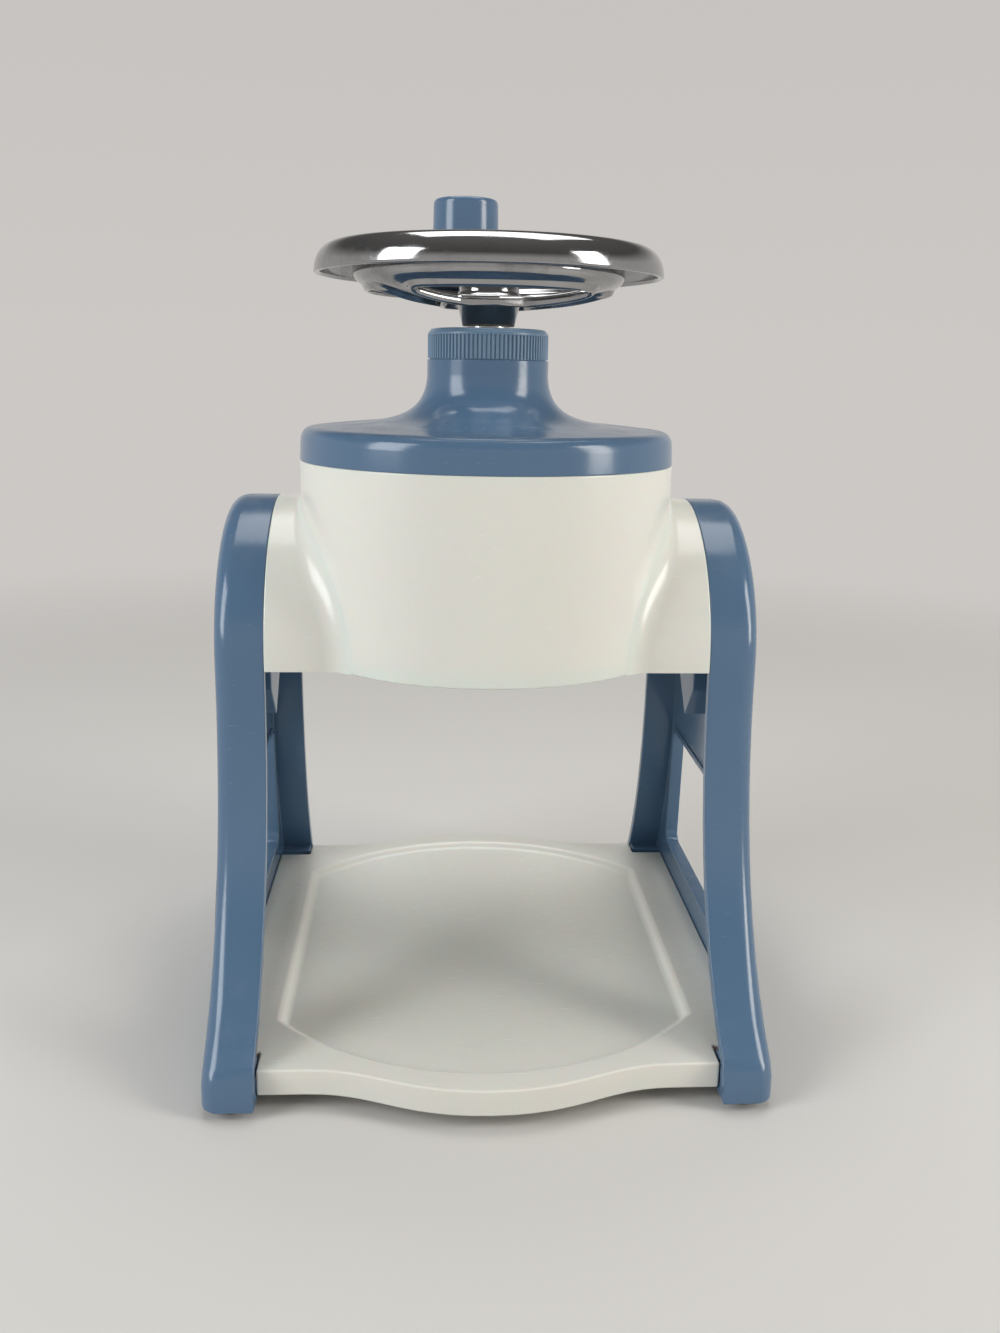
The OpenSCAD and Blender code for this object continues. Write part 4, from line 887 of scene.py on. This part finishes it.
COLLAR_Z, COLLAR_TOP, COLLAR_R = 221.6, 231.4, 19.8
RIB_COUNT, RIB_R, RIB_Z, RIB_LENGTH = 90, 0.46, 225.8, 7.6
ribs = growth("collar_ribs", [("Count", INTEGER), ("Radius", FLOAT), ("Height", FLOAT), ("Rib Radius", FLOAT),
                              ("Rib Length", FLOAT)], rib_tree,
              {"Count": RIB_COUNT, "Radius": (COLLAR_R - RIB_R) * MM, "Height": RIB_Z * MM,
               "Rib Radius": RIB_R * MM, "Rib Length": RIB_LENGTH * MM,
               "Material": FINISHES["collar_plastic"]})
work = bmesh.new()
turned(work, softened([(COLLAR_R - 0.5, COLLAR_Z, 0.3), (COLLAR_R - 0.5, COLLAR_TOP, 1.7),
                       (9.5, COLLAR_TOP, 0.3), (9.5, 229), (17.3, 229), (17.3, COLLAR_Z)]), COLLAR_ROUND)
turned(work, softened([(COLLAR_R - 0.6, 229.2), (COLLAR_R - 0.02, 229.3, 0.2), (COLLAR_R - 0.2, 230.2, 0.3),
                       (COLLAR_R - 0.9, 230.6)]), COLLAR_ROUND)
collar = joined("ribbed_collar", [ribs, made(work, "collar_ring")])
settle(smooth(collar, FINE_TURN), "collar")
print("collar of", len(collar.data.polygons), "faces")

# %% Wind the spring
def spring_tree(tree, take):
    """A round wire along a spiral of even radius."""
    spiral = add(tree, "GeometryNodeCurveSpiral", {
        "Resolution": 40, "Rotations": take["Turns"], "Start Radius": take["Radius"],
        "End Radius": take["Radius"], "Height": take["Length"]})
    lift = add(tree, "ShaderNodeCombineXYZ", {"Z": take["Lift"]})
    raised = add(tree, "GeometryNodeSetPosition", {"Geometry": spiral.outputs[0], "Offset": lift.outputs[0]})
    wire = add(tree, "GeometryNodeCurvePrimitiveCircle", {"Resolution": 16, "Radius": take["Wire Radius"]})
    return add(tree, "GeometryNodeCurveToMesh", {"Curve": raised.outputs[0], "Profile Curve": wire.outputs[0],
                                                 "Fill Caps": True}).outputs[0]


SPRING_LOW, SPRING_HIGH, WIRE_R = 146.3, 208.1, 0.8
TURNS, COIL_R, TRAVEL = 9.0, 10, 40
spring = growth("wound_spring", [("Turns", FLOAT), ("Radius", FLOAT), ("Length", FLOAT), ("Lift", FLOAT),
                                 ("Wire Radius", FLOAT)], spring_tree,
                {"Turns": TURNS, "Radius": COIL_R * MM,
                 "Length": (SPRING_HIGH - SPRING_LOW - 2 * WIRE_R) * MM, "Lift": (SPRING_LOW + WIRE_R) * MM,
                 "Wire Radius": WIRE_R * MM, "Material": FINISHES["steel"]})
settle(smooth(spring, CURL_TURN, even=False), "spring")
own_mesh(spring)
print("spring of", len(spring.data.polygons), "faces")

# %% Set the spikes
SPIKE_COUNT, SPIKE_CIRCLE, SPIKE_Z, SPIKE_R = 6, 34, 135, 1.5
SHANK_L, TIP_L, TIP_R = 5.5, 4, 0.05
HEAD_TOP_R, HEAD_LOW_R, HEAD_H = 2.3, 2.7, 1


def spike_tree(tree, take):
    """Headed spikes that point down, on a circle."""
    shank = add(tree, "GeometryNodeMeshCone", {
        "Vertices": 24, "Side Segments": 2, "Radius Top": take["Radius"], "Radius Bottom": take["Radius"],
        "Depth": SHANK_L * MM})
    tip = add(tree, "GeometryNodeMeshCone", {"Vertices": 24, "Radius Top": take["Radius"],
                                             "Radius Bottom": TIP_R * MM, "Depth": TIP_L * MM})
    down = add(tree, "GeometryNodeTransform", {"Geometry": tip.outputs[0],
                                               "Translation": (0, 0, -TIP_L * MM)})
    head = add(tree, "GeometryNodeMeshCone", {"Vertices": 24, "Radius Top": HEAD_TOP_R * MM,
                                              "Radius Bottom": HEAD_LOW_R * MM, "Depth": HEAD_H * MM})
    up = add(tree, "GeometryNodeTransform", {"Geometry": head.outputs[0],
                                             "Translation": (0, 0, SHANK_L * MM)})
    whole = add(tree, "GeometryNodeJoinGeometry")
    for part in (up, down, shank):
        tree.links.new(part.outputs[0], whole.inputs[0])
    return ring_of(tree, whole.outputs[0], take["Count"], take["Circle"], take["Height"])


spikes = growth("disc_spikes", [("Count", INTEGER), ("Circle", FLOAT), ("Height", FLOAT), ("Radius", FLOAT)],
                spike_tree, {"Count": SPIKE_COUNT, "Circle": SPIKE_CIRCLE * MM, "Height": SPIKE_Z * MM,
                             "Radius": SPIKE_R * MM, "Material": FINISHES["steel"]})
settle(smooth(spikes, FINE_TURN, even=False), "spikes")
print("set", SPIKE_COUNT, "spikes")

# %% Set the screws
PLATE_SCREW_X, PLATE_SCREW_Y, PLATE_SCREW_Z = 76.9, 55, 3
FRAME_SCREW_X, FRAME_SCREW_YS, FRAME_SCREW_Z = 83.9, (-14, 40), 147.6


def screw(shank, length, head, height):
    """A round-headed screw that points up, with a cross cut in its head, standing on its head's seat."""
    work = bmesh.new()
    dome = [(head * math.cos(a), -height * math.sin(a)) for a in (math.pi / 2 * n / 8 for n in range(2, 9))]
    stem = [(0, length), (shank * 0.4, length), (shank, length - shank * 0.6), (shank, 0), (head, 0)]
    turned(work, stem + dome[:-1] + [(0, -height)], SCREW_ROUND, closed=False)
    piece = made(work, "screw")
    arm, half = head * 0.55, head * 0.11
    return carved(piece, [((-arm, -half, -height - 1), (arm, half, -height * 0.4)),
                          ((-half, -arm, -height - 1), (half, arm, -height * 0.4))])


def screw_tree(tree, take):
    """Copies of one screw on points, each turned by its own place."""
    place = add(tree, "GeometryNodeInputPosition")
    part = add(tree, "ShaderNodeVectorMath", {0: place.outputs[0], 1: take["Aim"]}, operation="MULTIPLY")
    turn = add(tree, "FunctionNodeAlignRotationToVector", {"Vector": part.outputs[0]}, axis="Z")
    shape = add(tree, "GeometryNodeObjectInfo", {"Object": take["Screw"]})
    copies = add(tree, "GeometryNodeInstanceOnPoints", {
        "Points": take["Points"], "Instance": shape.outputs["Geometry"], "Rotation": turn.outputs[0]})
    return copies.outputs[0]


def screws(name, node, model, places, aim):
    """Screws at listed places in millimetres; aim picks the part of a place that gives the direction."""
    tree = bpy.data.node_groups.new(name, "GeometryNodeTree")
    tree.interface.new_socket("Points", in_out="INPUT", socket_type=GEOMETRY)
    kind = tree.interface.new_socket("Screw", in_out="INPUT", socket_type="NodeSocketObject")
    way = tree.interface.new_socket("Aim", in_out="INPUT", socket_type=VECTOR)
    tree.interface.new_socket("Geometry", in_out="OUTPUT", socket_type=GEOMETRY)
    give, take = tree.nodes.new("NodeGroupInput"), tree.nodes.new("NodeGroupOutput")
    real = add(tree, "GeometryNodeRealizeInstances", {0: screw_tree(tree, give.outputs)})
    paint = add(tree, "GeometryNodeSetMaterial", {"Geometry": real.outputs[0], "Material": FINISHES["steel"]})
    tree.links.new(paint.outputs[0], take.inputs[0])
    mesh = bpy.data.meshes.new(name)
    mesh.from_pydata([[x * MM for x in place] for place in places], [], [])
    piece = new_piece(name, mesh)
    grow = piece.modifiers.new("growth", "NODES")
    grow.node_group = tree
    grow[kind.identifier] = model
    grow[way.identifier] = aim
    baked(piece)
    bpy.data.objects.remove(model)
    return settle(smooth(piece, FINE_TURN, even=False), node)


screws("plate_screw_set", "plate_screws", screw(shank=1.6, length=7, head=3.2, height=1.6),
       [(x * PLATE_SCREW_X, y * PLATE_SCREW_Y, PLATE_SCREW_Z) for x in (-1, 1) for y in (-1, 1)], (0, 0, 1))
screws("frame_screw_set", "frame_screws", screw(shank=2, length=22, head=3.8, height=2.4),
       [(x * FRAME_SCREW_X, y, FRAME_SCREW_Z) for x in (-1, 1) for y in FRAME_SCREW_YS], (-1, 0, 0))
print("set 4 plate screws and 4 frame screws")
